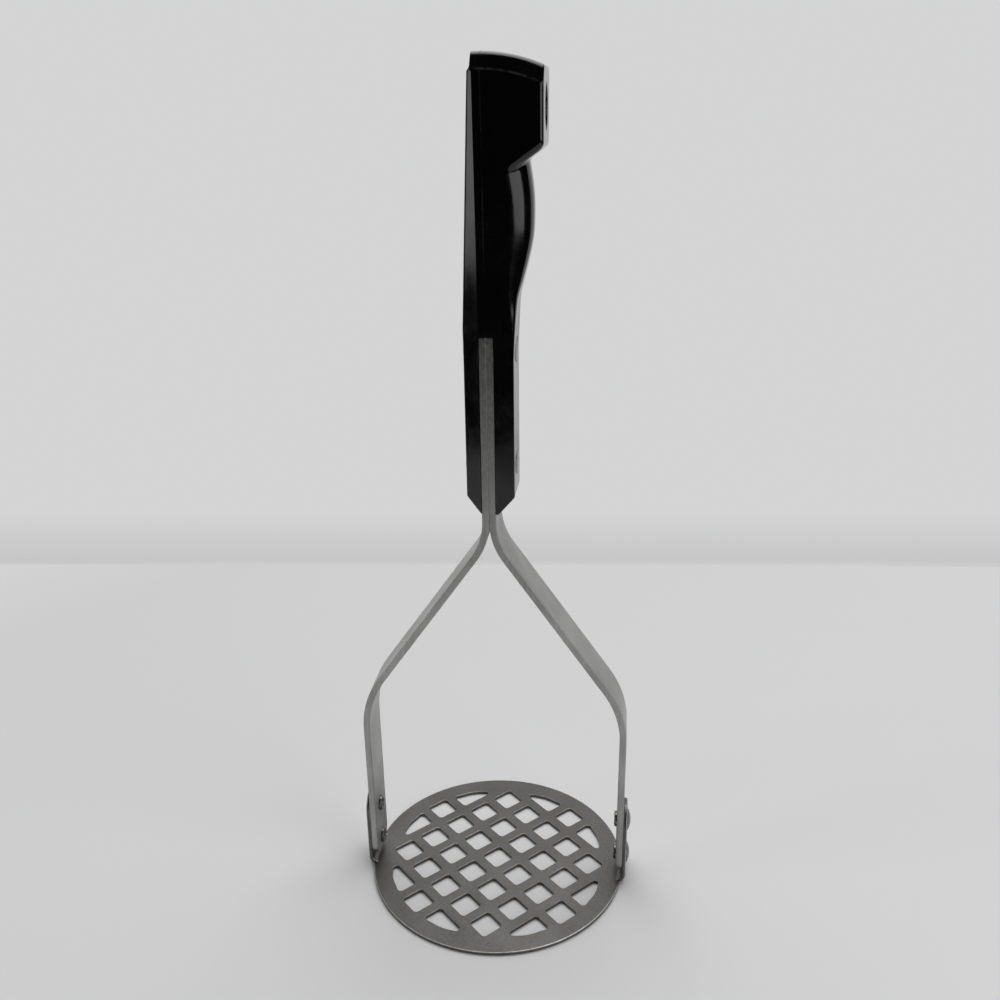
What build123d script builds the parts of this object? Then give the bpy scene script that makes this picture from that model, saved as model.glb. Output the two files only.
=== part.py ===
# Potato masher: a moulded handle riveted to two bent flat bars, which carry a pierced round plate.
# Millimetres. The plate's underside lies on Z = 0, its centre is the origin, and the handle points up.
# The legs spread along X, and the width of their strips lies along Y.
import math
import os

from build123d import *

# Overall
overall_height = 266.8

# Mashing plate
plate_diameter = 88.8
plate_thickness = 1.3
rim_edge_break = 0.4
hole_pitch = 11.45
hole_side = 7.95
hole_corner_radius = 1.2
hole_field_radius = 38.5
hole_turn_degrees = 45
# The furthest holes from the centre, as the square of their distance in pitches
full_hole_reach = 9
cut_hole_reach = 10

# Ears of the plate, folded up outside the legs
ear_bend_radius = 2.0
upper_rivet_z = 21.7
lower_rivet_z = 7.6

# Legs, each one flat bar
leg_width = 14.3
leg_thickness = 2.2
leg_edge_break = 0.25
leg_inset = 2.3
leg_splay_degrees = 35.2
shoulder_drop = 2.8
shoulder_radius = 20.5
knee_radius = 32.1
foot_clearance = 0.2
foot_corner_radius = 4.6
tang_top_z = 192.0

# Semi-tubular rivets through ear and leg
plate_rivet_shank_radius = 2.0
plate_rivet_head_radius = 3.65
plate_rivet_head_height = 1.25
plate_rivet_head_edge = 0.25
plate_rivet_roll_radius = 2.65
plate_rivet_roll_height = 0.95
plate_rivet_roll_bevel = 0.4
plate_rivet_bore_radius = 1.1
plate_rivet_bore_depth = 2.4
plate_rivet_clearance = 0.05

# Handle, seen from the side: its back is at -X and its finger swell at +X
handle_bottom_z = 137.4
back_x = 7.1
back_bend_z = 194.0
back_shoulder_drop = 6.8
back_shoulder_x = 3.58
back_top_x = 2.3
front_x = 8.0
swell_x = 13.55
block_x = 16.65
swell_start_z = 186.0
swell_top_drop = 24.8
flat_edge_x = 7.75
neck_flat_edge_x = 6.3
neck_radius = 2.5
ramp_drop = 31.0
ramp_degrees = 35.0
ramp_side_radius = 2.0
block_edge_radius = 0.95

# Handle, seen from the front: half its depth in Y
tang_sink = 0.2
depth_bend_z = 188.0
top_half_depth = 10.7
front_corner_depth = 0.35
nose_flat_half_depth = 0.9

# Long facets beside the back
facet_start_x = 2.05
facet_degrees = 31

# Crowned end of the handle and the bevels along its sides
crown_radius = 45.0
crown_centre_x = -0.8
end_bevel_half_depth = 7.5
end_bevel_height = 4.7
end_bevel_depth = 3.0

# Bevelled mouth of the handle
back_mouth_width = 4.8
back_mouth_height = 4.8
front_mouth_width = 5.0
front_mouth_height = 5.8

# Slot for the tang
slot_clearance = 0.05

# Hanging hole through the end of the handle
hang_hole_drop = 13.55
hang_hole_height = 11.6
hang_hole_depth = 7.8
hang_hole_lip_radius = 0.7

# Two-piece handle rivets
upper_handle_rivet_drop = 4.8
lower_handle_rivet_rise = 14.9
handle_rivet_head_radius = 3.55
handle_rivet_head_edge = 1.0
handle_rivet_head_crown = 0.3
handle_rivet_head_proud = 0.1
handle_rivet_sleeve_radius = 2.4
handle_rivet_pin_radius = 1.6
handle_rivet_end_gap = 0.6
handle_rivet_clearance = 0.05

# One overrun for every cut
overrun = 4.0

# Pull of the curve that stands for a quarter turn, as a share of its radius
quarter_turn_share = 0.5523

# Sections of the finger swell, evenly spaced from its start to its top. Each row has three shares: the rise
# of the nose to the crest of the swell, the narrowing of the nose, and the drawing back of the flats' edges.
swell_section_shares = (
    (0.00, 0.00, 0.00),
    (0.05, 0.08, 0.25),
    (0.11, 0.20, 0.53),
    (0.21, 0.42, 0.69),
    (0.49, 0.70, 0.69),
    (0.75, 0.88, 0.62),
    (0.945, 0.97, 0.57),
    (1.00, 1.00, 0.54),
    (0.98, 1.00, 0.64),
    (0.86, 1.00, 0.94),
    (0.68, 1.00, 1.20),
)

# Sizes that follow from those above
plate_radius = plate_diameter / 2
leg_inner_x = plate_radius - leg_inset
leg_outer_x = leg_inner_x + leg_thickness
ear_outer_x = leg_outer_x + plate_thickness
ear_outer_bend_radius = ear_bend_radius + plate_thickness
ear_bend_x = ear_outer_x - ear_outer_bend_radius
foot_z = ear_outer_bend_radius + foot_clearance
shoulder_start_z = handle_bottom_z - shoulder_drop
grip_half_depth = leg_width / 2 + tang_sink
front_half_depth = grip_half_depth - front_corner_depth
back_shoulder_z = overall_height - back_shoulder_drop
swell_top_z = overall_height - swell_top_drop
ramp_z = overall_height - ramp_drop
hang_hole_z = overall_height - hang_hole_drop
upper_handle_rivet_z = tang_top_z - upper_handle_rivet_drop
lower_handle_rivet_z = handle_bottom_z + lower_handle_rivet_rise


def pierced_outlines():
    """Outlines of the 37 holes: whole squares, and at the edge corners of squares cut round by the field."""
    half_side = hole_side / 2
    outlines = []
    steps = range(-math.isqrt(full_hole_reach), math.isqrt(full_hole_reach) + 1)
    for i in steps:
        for j in steps:
            reach = i * i + j * j
            if reach <= full_hole_reach:
                square = RectangleRounded(hole_side, hole_side, hole_corner_radius)
                outlines.append(Pos(i * hole_pitch, j * hole_pitch) * square)
            elif reach == cut_hole_reach:
                near_x = abs(i) * hole_pitch - half_side
                near_y = abs(j) * hole_pitch - half_side
                corner = Rectangle(hole_field_radius, hole_field_radius, align=(Align.MIN, Align.MIN))
                cell = (Pos(near_x, near_y) * corner) & Circle(hole_field_radius)
                cell = fillet(cell.vertices(), hole_corner_radius)
                if i < 0:
                    cell = mirror(cell, about=Plane.YZ)
                if j < 0:
                    cell = mirror(cell, about=Plane.XZ)
                outlines.append(cell)
    return outlines


def ear(side):
    """One ear: flat, bent up through a quarter turn, and rounded at the top about its upper rivet."""
    top_z = upper_rivet_z + leg_width / 2
    with BuildPart() as folded:
        with BuildSketch(Plane.XZ):
            with BuildLine():
                inner_x = ear_outer_x - plate_thickness
                outer_foot = Line((ear_bend_x, 0), (ear_bend_x, plate_thickness))
                inner_arc = CenterArc((ear_bend_x, ear_outer_bend_radius), ear_bend_radius, -90, 90)
                inner_wall = Line(inner_arc @ 1, (inner_x, top_z))
                crest = Line(inner_wall @ 1, (ear_outer_x, top_z))
                outer_wall = Line(crest @ 1, (ear_outer_x, ear_outer_bend_radius))
                CenterArc((ear_bend_x, ear_outer_bend_radius), ear_outer_bend_radius, 0, -90)
            make_face()
        extrude(amount=leg_width / 2, both=True)
    with BuildPart() as outline:
        with BuildSketch(Plane.YZ):
            with Locations((0, upper_rivet_z)):
                Circle(leg_width / 2)
                Rectangle(leg_width, upper_rivet_z, align=(Align.CENTER, Align.MAX))
        extrude(amount=ear_outer_x + overrun)
    shape = folded.part & outline.part
    for z in (upper_rivet_z, lower_rivet_z):
        shape -= rivet_hole(z, plate_rivet_shank_radius + plate_rivet_clearance, ear_bend_x, ear_outer_x)
    return shape if side > 0 else mirror(shape, about=Plane.YZ)


def rivet_hole(z, radius, low_x, high_x):
    """A cylinder along X at height z that runs past both faces."""
    length = high_x - low_x + 2 * overrun
    return Pos((low_x + high_x) / 2, 0, z) * Rot(0, 90, 0) * Cylinder(radius, length)


def masher_plate():
    """The stamped disc with its broken rim edges, its lattice of holes and its two ears."""
    disc = extrude(Circle(plate_radius), plate_thickness)
    rim = disc.edges().filter_by(GeomType.CIRCLE)
    disc = chamfer(rim, rim_edge_break)
    for outline in pierced_outlines():
        turned = Rot(0, 0, hole_turn_degrees) * outline
        disc -= Pos(0, 0, -overrun) * extrude(turned, plate_thickness + 2 * overrun)
    notch = Box(
        plate_radius,
        leg_width,
        plate_thickness + 2 * overrun,
        align=(Align.MIN, Align.CENTER, Align.CENTER),
    )
    disc -= Pos(ear_bend_x, 0, 0) * notch
    disc -= Pos(-ear_bend_x, 0, 0) * Rot(0, 0, 180) * notch
    return disc + ear(1) + ear(-1)


def leg_face_line(face_x, tang_x, shift_z, shoulder_bend, knee_bend):
    """The line of one face of the bar, seen along its width, from the top of the tang down to the foot."""
    splay = math.radians(leg_splay_degrees)
    middle_shoulder_z = shoulder_start_z - (shoulder_radius + leg_thickness / 2) * math.tan(splay / 2)
    middle_knee_z = middle_shoulder_z - leg_inner_x / math.tan(splay)
    return FilletPolyline(
        (tang_x, tang_top_z),
        (tang_x, middle_shoulder_z + shift_z),
        (face_x, middle_knee_z + shift_z),
        (face_x, foot_z),
        radius=[shoulder_bend, knee_bend],
    )


def leg(side):
    """One bar: tang, shoulder bend, slanting run, knee bend, upright and rounded foot."""
    shift_z = leg_thickness / 2 * math.tan(math.radians(leg_splay_degrees) / 2)
    with BuildPart() as strip:
        with BuildSketch(Plane.XZ):
            with BuildLine():
                inner = leg_face_line(
                    leg_inner_x, 0, -shift_z, shoulder_radius + leg_thickness, knee_radius
                )
                outer = leg_face_line(
                    leg_outer_x, leg_thickness, shift_z, shoulder_radius, knee_radius + leg_thickness
                )
                Line(inner @ 0, outer @ 0)
                Line(inner @ 1, outer @ 1)
            make_face()
        extrude(amount=leg_width / 2, both=True)
        foot_corners = strip.edges().filter_by(Axis.X).group_by(Axis.Z)[0]
        fillet(foot_corners, foot_corner_radius)
        across = strip.edges().filter_by(Axis.Y)
        long_edges = strip.edges() - strip.edges().filter_by(Axis.X) - across + across.group_by(Axis.Z)[0]
        chamfer(long_edges, leg_edge_break)
    bar = strip.part
    for z in (upper_rivet_z, lower_rivet_z):
        bar -= rivet_hole(z, plate_rivet_shank_radius + plate_rivet_clearance, leg_inner_x, leg_outer_x)
    for z in (upper_handle_rivet_z, lower_handle_rivet_z):
        bar -= rivet_hole(z, handle_rivet_sleeve_radius + handle_rivet_clearance, 0, leg_thickness)
    return bar if side > 0 else mirror(bar, about=Plane.YZ)


def crown_arc(radius, rise, edge_z):
    """The arc of a low crown, from its top out to its edge: part of a ball centred on the axis."""
    ball_radius = (radius**2 + rise**2) / (2 * rise)
    return RadiusArc((0, edge_z + rise), (radius, edge_z), ball_radius)


def plate_rivet(side, z):
    """A semi-tubular rivet: domed head on the ear, shank through ear and leg, rolled end inside the leg."""
    grip = plate_thickness + leg_thickness
    end_z = -grip - plate_rivet_roll_height
    bore_z = end_z + plate_rivet_bore_depth
    with BuildPart() as rivet:
        with BuildSketch(Plane.XZ):
            with BuildLine():
                crown = crown_arc(
                    plate_rivet_head_radius,
                    plate_rivet_head_height - plate_rivet_head_edge,
                    plate_rivet_head_edge,
                )
                Polyline(
                    crown @ 1,
                    (plate_rivet_head_radius, 0),
                    (plate_rivet_shank_radius, 0),
                    (plate_rivet_shank_radius, -grip),
                    (plate_rivet_roll_radius, -grip),
                    (plate_rivet_roll_radius, end_z + plate_rivet_roll_bevel),
                    (plate_rivet_roll_radius - plate_rivet_roll_bevel, end_z),
                    (plate_rivet_bore_radius + plate_rivet_roll_bevel, end_z),
                    (plate_rivet_bore_radius, end_z + plate_rivet_roll_bevel),
                    (plate_rivet_bore_radius, bore_z),
                    (0, bore_z),
                    crown @ 0,
                )
            make_face()
        revolve(axis=Axis.Z)
    placed = Pos(ear_outer_x, 0, z) * Rot(0, 90, 0) * rivet.part
    return placed if side > 0 else mirror(placed, about=Plane.YZ)


def half_depth(z):
    """Half the handle's depth at a height: even beside the tang, then widening up to the end."""
    share = max(z - depth_bend_z, 0) / (overall_height - depth_bend_z)
    return grip_half_depth + share * (top_half_depth - grip_half_depth)


def back_reach(z):
    """Distance of the back face from the axis: even beside the tang, then leaning in to the end."""
    if z <= back_bend_z:
        return back_x
    if z <= back_shoulder_z:
        share = (z - back_bend_z) / (back_shoulder_z - back_bend_z)
        return back_x + share * (back_shoulder_x - back_x)
    share = (z - back_shoulder_z) / (overall_height - back_shoulder_z)
    return back_shoulder_x + share * (back_top_x - back_shoulder_x)


def stock_section(z):
    """One section of the handle's stock: back, facets, flat sides and the full front."""
    back = back_reach(z)
    half = half_depth(z)
    facet_depth = (back - facet_start_x) * math.tan(math.radians(facet_degrees))
    corners = [
        Vector(-back, half - facet_depth, z),
        Vector(-back, facet_depth - half, z),
        Vector(-facet_start_x, -half, z),
        Vector(block_x, -half, z),
        Vector(block_x, half, z),
        Vector(-facet_start_x, half, z),
    ]
    edges = [Edge.make_line(start, end) for start, end in zip(corners, corners[1:] + corners[:1])]
    return Face(Wire(edges))


def stock():
    """The flat-sided stock that the grip and the end block are both shaped from."""
    levels = (handle_bottom_z, depth_bend_z, back_bend_z, back_shoulder_z, overall_height)
    return loft([stock_section(z) for z in levels], ruled=True)


def nose_section(z, flat_x, nose_x, nose_half):
    """One section of the rounding form: quarter turns that cross the flats at their edges, and the nose."""
    reach = nose_x - flat_x
    fall = half_depth(z) - nose_half
    radius = (reach * reach + fall * fall) / (2 * reach)
    pull = quarter_turn_share * radius
    wide = nose_half + radius
    behind = -back_x - overrun
    near = [
        Vector(nose_x - radius, -wide, z),
        Vector(nose_x - radius + pull, -wide, z),
        Vector(nose_x, -nose_half - pull, z),
        Vector(nose_x, -nose_half, z),
    ]
    far = [Vector(point.X, -point.Y, z) for point in reversed(near)]
    near_end = Vector(behind, -wide, z)
    far_end = Vector(behind, wide, z)
    edges = (
        Edge.make_line(near_end, near[0]),
        Edge.make_bezier(*near),
        Edge.make_line(near[-1], far[0]),
        Edge.make_bezier(*far),
        Edge.make_line(far[-1], far_end),
        Edge.make_line(far_end, near_end),
    )
    return Face(Wire(edges))


def rounding_form():
    """The form that rounds the front of the grip: even beside the tang, then the finger swell."""
    plain = [
        nose_section(z, flat_edge_x, front_x, front_half_depth) for z in (handle_bottom_z, swell_start_z)
    ]
    sections = []
    for number, (rise, narrowing, drawing) in enumerate(swell_section_shares):
        share = number / (len(swell_section_shares) - 1)
        z = swell_start_z + share * (swell_top_z - swell_start_z)
        flat_x = flat_edge_x + drawing * (neck_flat_edge_x - flat_edge_x)
        nose_x = front_x + rise * (swell_x - front_x)
        nose_half = front_half_depth + narrowing * (nose_flat_half_depth - front_half_depth)
        sections.append(nose_section(z, flat_x, nose_x, nose_half))
    return loft(plain, ruled=True) + loft(sections)


def underside():
    """What lies below the slanted underside of the end block, to be cut away."""
    slope = math.tan(math.radians(ramp_degrees))
    behind = -back_x - overrun
    ahead = block_x + overrun
    behind_z = ramp_z + slope * (behind - neck_flat_edge_x)
    ahead_z = ramp_z + slope * (ahead - neck_flat_edge_x)
    with BuildPart() as form:
        with BuildSketch(Plane.XZ):
            with BuildLine():
                Polyline(
                    (behind, handle_bottom_z - overrun),
                    (ahead, handle_bottom_z - overrun),
                    (ahead, ahead_z),
                    (behind, behind_z),
                    close=True,
                )
            make_face()
        extrude(amount=top_half_depth + overrun, both=True)
    return form.part


def crown_form():
    """The crowned end and all below it: a round of large radius about Y, bevelled along both of its sides."""
    wide_y = top_half_depth + overrun
    low_radius = crown_radius - (wide_y - end_bevel_half_depth) * end_bevel_height / end_bevel_depth
    with BuildPart() as crown:
        with BuildSketch(Plane.XY):
            with BuildLine():
                Polyline(
                    (0, -wide_y),
                    (low_radius, -wide_y),
                    (crown_radius, -end_bevel_half_depth),
                    (crown_radius, end_bevel_half_depth),
                    (low_radius, wide_y),
                    (0, wide_y),
                    close=True,
                )
            make_face()
        revolve(axis=Axis.Y)
        height = overall_height - crown_radius
        Box(2 * crown_radius, 2 * wide_y, height, align=(Align.CENTER, Align.CENTER, Align.MAX))
    return Pos(crown_centre_x, 0, overall_height - crown_radius) * crown.part


def end_block(whole):
    """The end block: slanted underside with rounded sides, crowned end and a rounded edge round its front."""
    block = (whole & crown_form()) - underside()
    slanted = block.faces().sort_by(Axis.Z)[0]
    sides = slanted.edges().group_by(Axis.Y)
    block = fillet(sides[0] + sides[-1], ramp_side_radius)
    front = block.faces().filter_by(Axis.X).sort_by(Axis.X)[-1]
    return fillet(front.edges(), block_edge_radius)


def handle_body():
    """The grip and the end block, joined by a hollow round at the neck."""
    whole = stock()
    body = (whole & rounding_form()) + end_block(whole)
    neck = [
        edge
        for edge in body.edges().filter_by(GeomType.BSPLINE)
        if edge.center(CenterOf.BOUNDING_BOX).X > neck_flat_edge_x
        and ramp_z < edge.center(CenterOf.BOUNDING_BOX).Z < swell_top_z
    ]
    return fillet(neck, neck_radius)


def mouth_bevels():
    """Two wedges that bevel the back and the front of the handle's mouth."""
    wedges = []
    for side, reach, width, height in (
        (-1, back_x, back_mouth_width, back_mouth_height),
        (1, front_x, front_mouth_width, front_mouth_height),
    ):
        slope = height / width
        with BuildPart() as wedge:
            with BuildSketch(Plane.XZ):
                with BuildLine():
                    Polyline(
                        (side * (reach - width) - side * overrun, handle_bottom_z - slope * overrun),
                        (side * reach + side * overrun, handle_bottom_z + height + slope * overrun),
                        (side * reach + side * overrun, handle_bottom_z - slope * overrun),
                        close=True,
                    )
                make_face()
            extrude(amount=grip_half_depth + overrun, both=True)
        wedges.append(wedge.part)
    return wedges


def hang_hole():
    """The oval hanging hole, from the back face to the front of the end block."""
    length = back_x + block_x + 2 * overrun
    oval = Plane.YZ * Ellipse(hang_hole_depth / 2, hang_hole_height / 2)
    return Pos(-back_x - overrun, 0, hang_hole_z) * extrude(oval, length)


def handle():
    """The moulded handle with its slot, hanging hole and rivet seats."""
    body = handle_body()
    for wedge in mouth_bevels():
        body -= wedge
    slot_width = 2 * (leg_thickness + slot_clearance)
    slot_height = tang_top_z + slot_clearance - handle_bottom_z
    slot = Box(
        slot_width,
        2 * (grip_half_depth + overrun),
        slot_height + overrun,
        align=(Align.CENTER, Align.CENTER, Align.MAX),
    )
    body -= Pos(0, 0, tang_top_z + slot_clearance) * slot
    for z in (upper_handle_rivet_z, lower_handle_rivet_z):
        body -= rivet_hole(z, handle_rivet_sleeve_radius + handle_rivet_clearance, -back_x, front_x)
        seat_radius = handle_rivet_head_radius + handle_rivet_clearance
        seat_depth = handle_rivet_head_edge - handle_rivet_head_proud
        for side, face_x in ((-1, back_x), (1, front_x)):
            sunk = seat_depth + overrun
            seat = Cylinder(seat_radius, sunk, align=(Align.CENTER, Align.CENTER, Align.MIN))
            body -= Pos(side * (face_x - seat_depth), 0, z) * Rot(0, side * 90, 0) * seat
    body -= hang_hole()
    mouths = [
        edge
        for edge in body.edges()
        if edge.geom_type in (GeomType.ELLIPSE, GeomType.BSPLINE)
        and abs(edge.center(CenterOf.BOUNDING_BOX).Z - hang_hole_z) < hang_hole_lip_radius
        and abs(edge.center(CenterOf.BOUNDING_BOX).Y) < hang_hole_lip_radius
    ]
    return fillet(mouths, hang_hole_lip_radius)


def handle_rivet_head():
    """A flat-edged round head with a low crown, its underside on Z = 0."""
    with BuildPart() as head:
        with BuildSketch(Plane.XZ):
            with BuildLine():
                crown = crown_arc(handle_rivet_head_radius, handle_rivet_head_crown, handle_rivet_head_edge)
                Polyline(crown @ 1, (handle_rivet_head_radius, 0), (0, 0), crown @ 0)
            make_face()
        revolve(axis=Axis.Z)
    return head.part


def handle_rivet_sleeve(z):
    """The tubular half of a handle rivet, set in from the back."""
    seat_depth = handle_rivet_head_edge - handle_rivet_head_proud
    length = back_x + front_x - 2 * seat_depth - handle_rivet_end_gap
    tube = Cylinder(handle_rivet_sleeve_radius, length, align=(Align.CENTER, Align.CENTER, Align.MAX))
    bore = Cylinder(handle_rivet_pin_radius, length, align=(Align.CENTER, Align.CENTER, Align.MAX))
    solid = handle_rivet_head() + (tube - bore)
    return Pos(-(back_x - seat_depth), 0, z) * Rot(0, -90, 0) * solid


def handle_rivet_pin(z):
    """The solid half of a handle rivet, set in from the front and gripped in the sleeve's bore."""
    seat_depth = handle_rivet_head_edge - handle_rivet_head_proud
    length = back_x + front_x - 2 * seat_depth - handle_rivet_end_gap
    shank = Cylinder(handle_rivet_pin_radius, length, align=(Align.CENTER, Align.CENTER, Align.MAX))
    return Pos(front_x - seat_depth, 0, z) * Rot(0, 90, 0) * (handle_rivet_head() + shank)


nodes = {
    "handle": handle(),
    "left_leg": leg(-1),
    "right_leg": leg(1),
    "masher_plate": masher_plate(),
    "left_upper_plate_rivet": plate_rivet(-1, upper_rivet_z),
    "left_lower_plate_rivet": plate_rivet(-1, lower_rivet_z),
    "right_upper_plate_rivet": plate_rivet(1, upper_rivet_z),
    "right_lower_plate_rivet": plate_rivet(1, lower_rivet_z),
    "upper_handle_rivet_sleeve": handle_rivet_sleeve(upper_handle_rivet_z),
    "lower_handle_rivet_sleeve": handle_rivet_sleeve(lower_handle_rivet_z),
    "upper_handle_rivet_pin": handle_rivet_pin(upper_handle_rivet_z),
    "lower_handle_rivet_pin": handle_rivet_pin(lower_handle_rivet_z),
}
os.makedirs("parts", exist_ok=True)
for name, solid in nodes.items():
    export_step(solid, f"parts/{name}.step")
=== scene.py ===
import logging
import math
from dataclasses import dataclass, field
from enum import Enum

import bmesh
import bpy
import numpy as np
from mathutils import Matrix, Vector
from mathutils.geometry import tessellate_polygon


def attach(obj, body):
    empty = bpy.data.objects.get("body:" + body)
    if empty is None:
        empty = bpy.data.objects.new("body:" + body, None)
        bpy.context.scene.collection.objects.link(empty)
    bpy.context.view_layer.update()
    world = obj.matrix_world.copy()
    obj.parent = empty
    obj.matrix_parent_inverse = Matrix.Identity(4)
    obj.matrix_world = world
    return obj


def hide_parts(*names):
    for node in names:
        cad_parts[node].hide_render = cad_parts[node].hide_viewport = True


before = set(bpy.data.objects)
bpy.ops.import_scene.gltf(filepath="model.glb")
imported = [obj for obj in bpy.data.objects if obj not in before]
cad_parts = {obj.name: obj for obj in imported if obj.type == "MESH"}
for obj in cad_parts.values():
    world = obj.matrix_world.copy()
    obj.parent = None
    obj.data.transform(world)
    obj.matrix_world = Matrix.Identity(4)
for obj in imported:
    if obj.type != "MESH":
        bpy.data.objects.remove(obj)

LOG = logging.getLogger("potato_masher")
MM = 0.001
TURN = 2 * math.pi
MERGE_MM = 0.0004
SHARP_DEGREES = 40
EDGE = "worn_edge_and_highlight"


def grid_faces(rows: int, columns: int, closed: bool = False) -> np.ndarray:
    """Return the quads of a grid of points that is numbered row by row.

    Each quad joins a point to the next in its row, the one above that, and the one above itself.

    Args:
        rows: Number of rows.
        columns: Number of points in a row.
        closed: Whether each row's last point joins its first.

    Returns:
        One line of four point numbers for each quad.
    """
    steps = np.arange(columns if closed else columns - 1)
    low = np.arange(rows - 1)[:, None] * columns
    here = low + steps
    ahead = low + (steps + 1) % columns
    return np.stack((here, ahead, ahead + columns, here + columns), axis=-1).reshape(-1, 4)


def smooth_max(first: np.ndarray, second: np.ndarray, width: float) -> np.ndarray:
    """Return the larger of two heights, eased by a parabola where they differ by less than width."""
    near = np.clip(width - np.abs(first - second), 0, None) / width
    return np.maximum(first, second) + near * near * width / 4


def smooth_min(first: np.ndarray, second: np.ndarray, width: float) -> np.ndarray:
    """Return the smaller of two heights, eased by a parabola where they differ by less than width."""
    return -smooth_max(-first, -second, width)


def round_drop(distance: np.ndarray, radius: float) -> np.ndarray:
    """Return how far a round of this radius falls below its flat, at a distance in from the edge."""
    short = radius - np.clip(distance, 0, radius)
    return radius - np.sqrt(radius * radius - short * short)


@dataclass
class Shell:
    """Points in millimetres and faces, gathered patch by patch, that become one mesh."""

    points: list = field(default_factory=list)
    faces: list = field(default_factory=list)
    count: int = 0

    def add(self, points: np.ndarray, faces: list) -> None:
        """Add a patch.

        Args:
            points: Its points, as rows of x, y and z, in a grid or a list.
            faces: Its faces, as lists of point numbers within the patch.
        """
        flat = np.asarray(points, dtype=float).reshape(-1, 3)
        self.points.append(flat)
        self.faces.extend([[number + self.count for number in face] for face in np.asarray(faces).tolist()])
        self.count += len(flat)

    def add_tube(self, points: np.ndarray) -> None:
        """Add closed rings of points, joined in order, and a flat face over the first and the last.

        Args:
            points: The rings: one row of points for each.
        """
        rows, count = points.shape[:2]
        first = list(range(count))[::-1]
        last = [(rows - 1) * count + number for number in range(count)]
        start = self.count
        self.add(points, grid_faces(rows, count, closed=True))
        self.faces.extend([[number + start for number in ring] for ring in (first, last)])

    def mesh(self, name: str, sharp_degrees: float = SHARP_DEGREES) -> bpy.types.Mesh:
        """Join the patches where their points meet, and turn all faces outward.

        Args:
            name: Name of the mesh.
            sharp_degrees: Edges that turn more than this are shaded as corners.

        Returns:
            The mesh, in metres.
        """
        mesh = bpy.data.meshes.new(name)
        mesh.from_pydata((np.concatenate(self.points) * MM).tolist(), [], self.faces)
        solid = bmesh.new()
        solid.from_mesh(mesh)
        bmesh.ops.remove_doubles(solid, verts=solid.verts, dist=MERGE_MM * MM)
        bmesh.ops.dissolve_degenerate(solid, edges=solid.edges, dist=MERGE_MM * MM)
        bmesh.ops.recalc_face_normals(solid, faces=solid.faces)
        open_edges = sum(1 for edge in solid.edges if len(edge.link_faces) != 2)
        if open_edges:
            LOG.warning("%s has %d open edges", name, open_edges)
        solid.to_mesh(mesh)
        solid.free()
        mesh.shade_smooth()
        mesh.set_sharp_from_angle(angle=math.radians(sharp_degrees))
        return mesh


def cut_away(mesh: bpy.types.Mesh, cutters: list, sharp_degrees: float) -> bpy.types.Mesh:
    """Take solids out of a mesh.

    Args:
        mesh: The mesh to cut.
        cutters: Meshes of what is taken away.
        sharp_degrees: Edges that turn more than this are shaded as corners.

    Returns:
        The cut mesh. The others are removed.
    """
    scene = bpy.context.scene
    blank = bpy.data.objects.new("blank", mesh)
    scene.collection.objects.link(blank)
    spare = [blank]
    for number, cutter in enumerate(cutters):
        tool = bpy.data.objects.new(f"cutter_{number}", cutter)
        scene.collection.objects.link(tool)
        cut = blank.modifiers.new(f"cut_{number}", "BOOLEAN")
        cut.operation = "DIFFERENCE"
        cut.solver = "EXACT"
        cut.object = tool
        spare.append(tool)
    evaluated = blank.evaluated_get(bpy.context.evaluated_depsgraph_get())
    result = bpy.data.meshes.new_from_object(evaluated)
    for thing in spare:
        old = thing.data
        bpy.data.objects.remove(thing)
        bpy.data.meshes.remove(old)
    result.shade_smooth()
    result.set_sharp_from_angle(angle=math.radians(sharp_degrees))
    return result


def mark_edges(mesh: bpy.types.Mesh, marks: np.ndarray) -> None:
    """Give a mesh the attribute that says, from 0 to 1 at each point, where an edge was cut or polished; on
    the plate it also carries a painted highlight.
    """
    layer = mesh.attributes.new(EDGE, "FLOAT", "POINT")
    layer.data.foreach_set("value", marks.astype(np.float32))


def mesh_places(mesh: bpy.types.Mesh) -> np.ndarray:
    """Return a mesh's points, as rows of x, y and z in millimetres."""
    places = np.zeros(len(mesh.vertices) * 3)
    mesh.vertices.foreach_get("co", places)
    return places.reshape(-1, 3) / MM


def turned_points(profile: np.ndarray, steps: int) -> np.ndarray:
    """Return the grid of a profile turned about the X axis.

    Args:
        profile: Rows of distance along X and radius, in millimetres.
        steps: Number of places round the turn.

    Returns:
        A grid: one row of points for each point of the profile.
    """
    angle = np.arange(steps) * TURN / steps
    along = np.repeat(profile[:, :1], steps, axis=1)
    return np.stack((along, profile[:, 1:] * np.cos(angle), profile[:, 1:] * np.sin(angle)), axis=-1)


def turned_mesh(name: str, profile: np.ndarray, steps: int, place: tuple, side: int) -> bpy.types.Mesh:
    """Return a turned solid that lies along X.

    Args:
        name: Name of the mesh.
        profile: Closed or axis-to-axis profile: rows of distance out along X and radius.
        steps: Number of places round the turn.
        place: Where the profile's origin goes, in millimetres.
        side: 1 where the profile's X points to +X, or -1.

    Returns:
        The mesh.
    """
    points = turned_points(profile, steps)
    points[..., 0] *= side
    shell = Shell()
    shell.add(points + np.array(place), grid_faces(len(profile), steps, closed=True))
    return shell.mesh(name)


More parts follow.
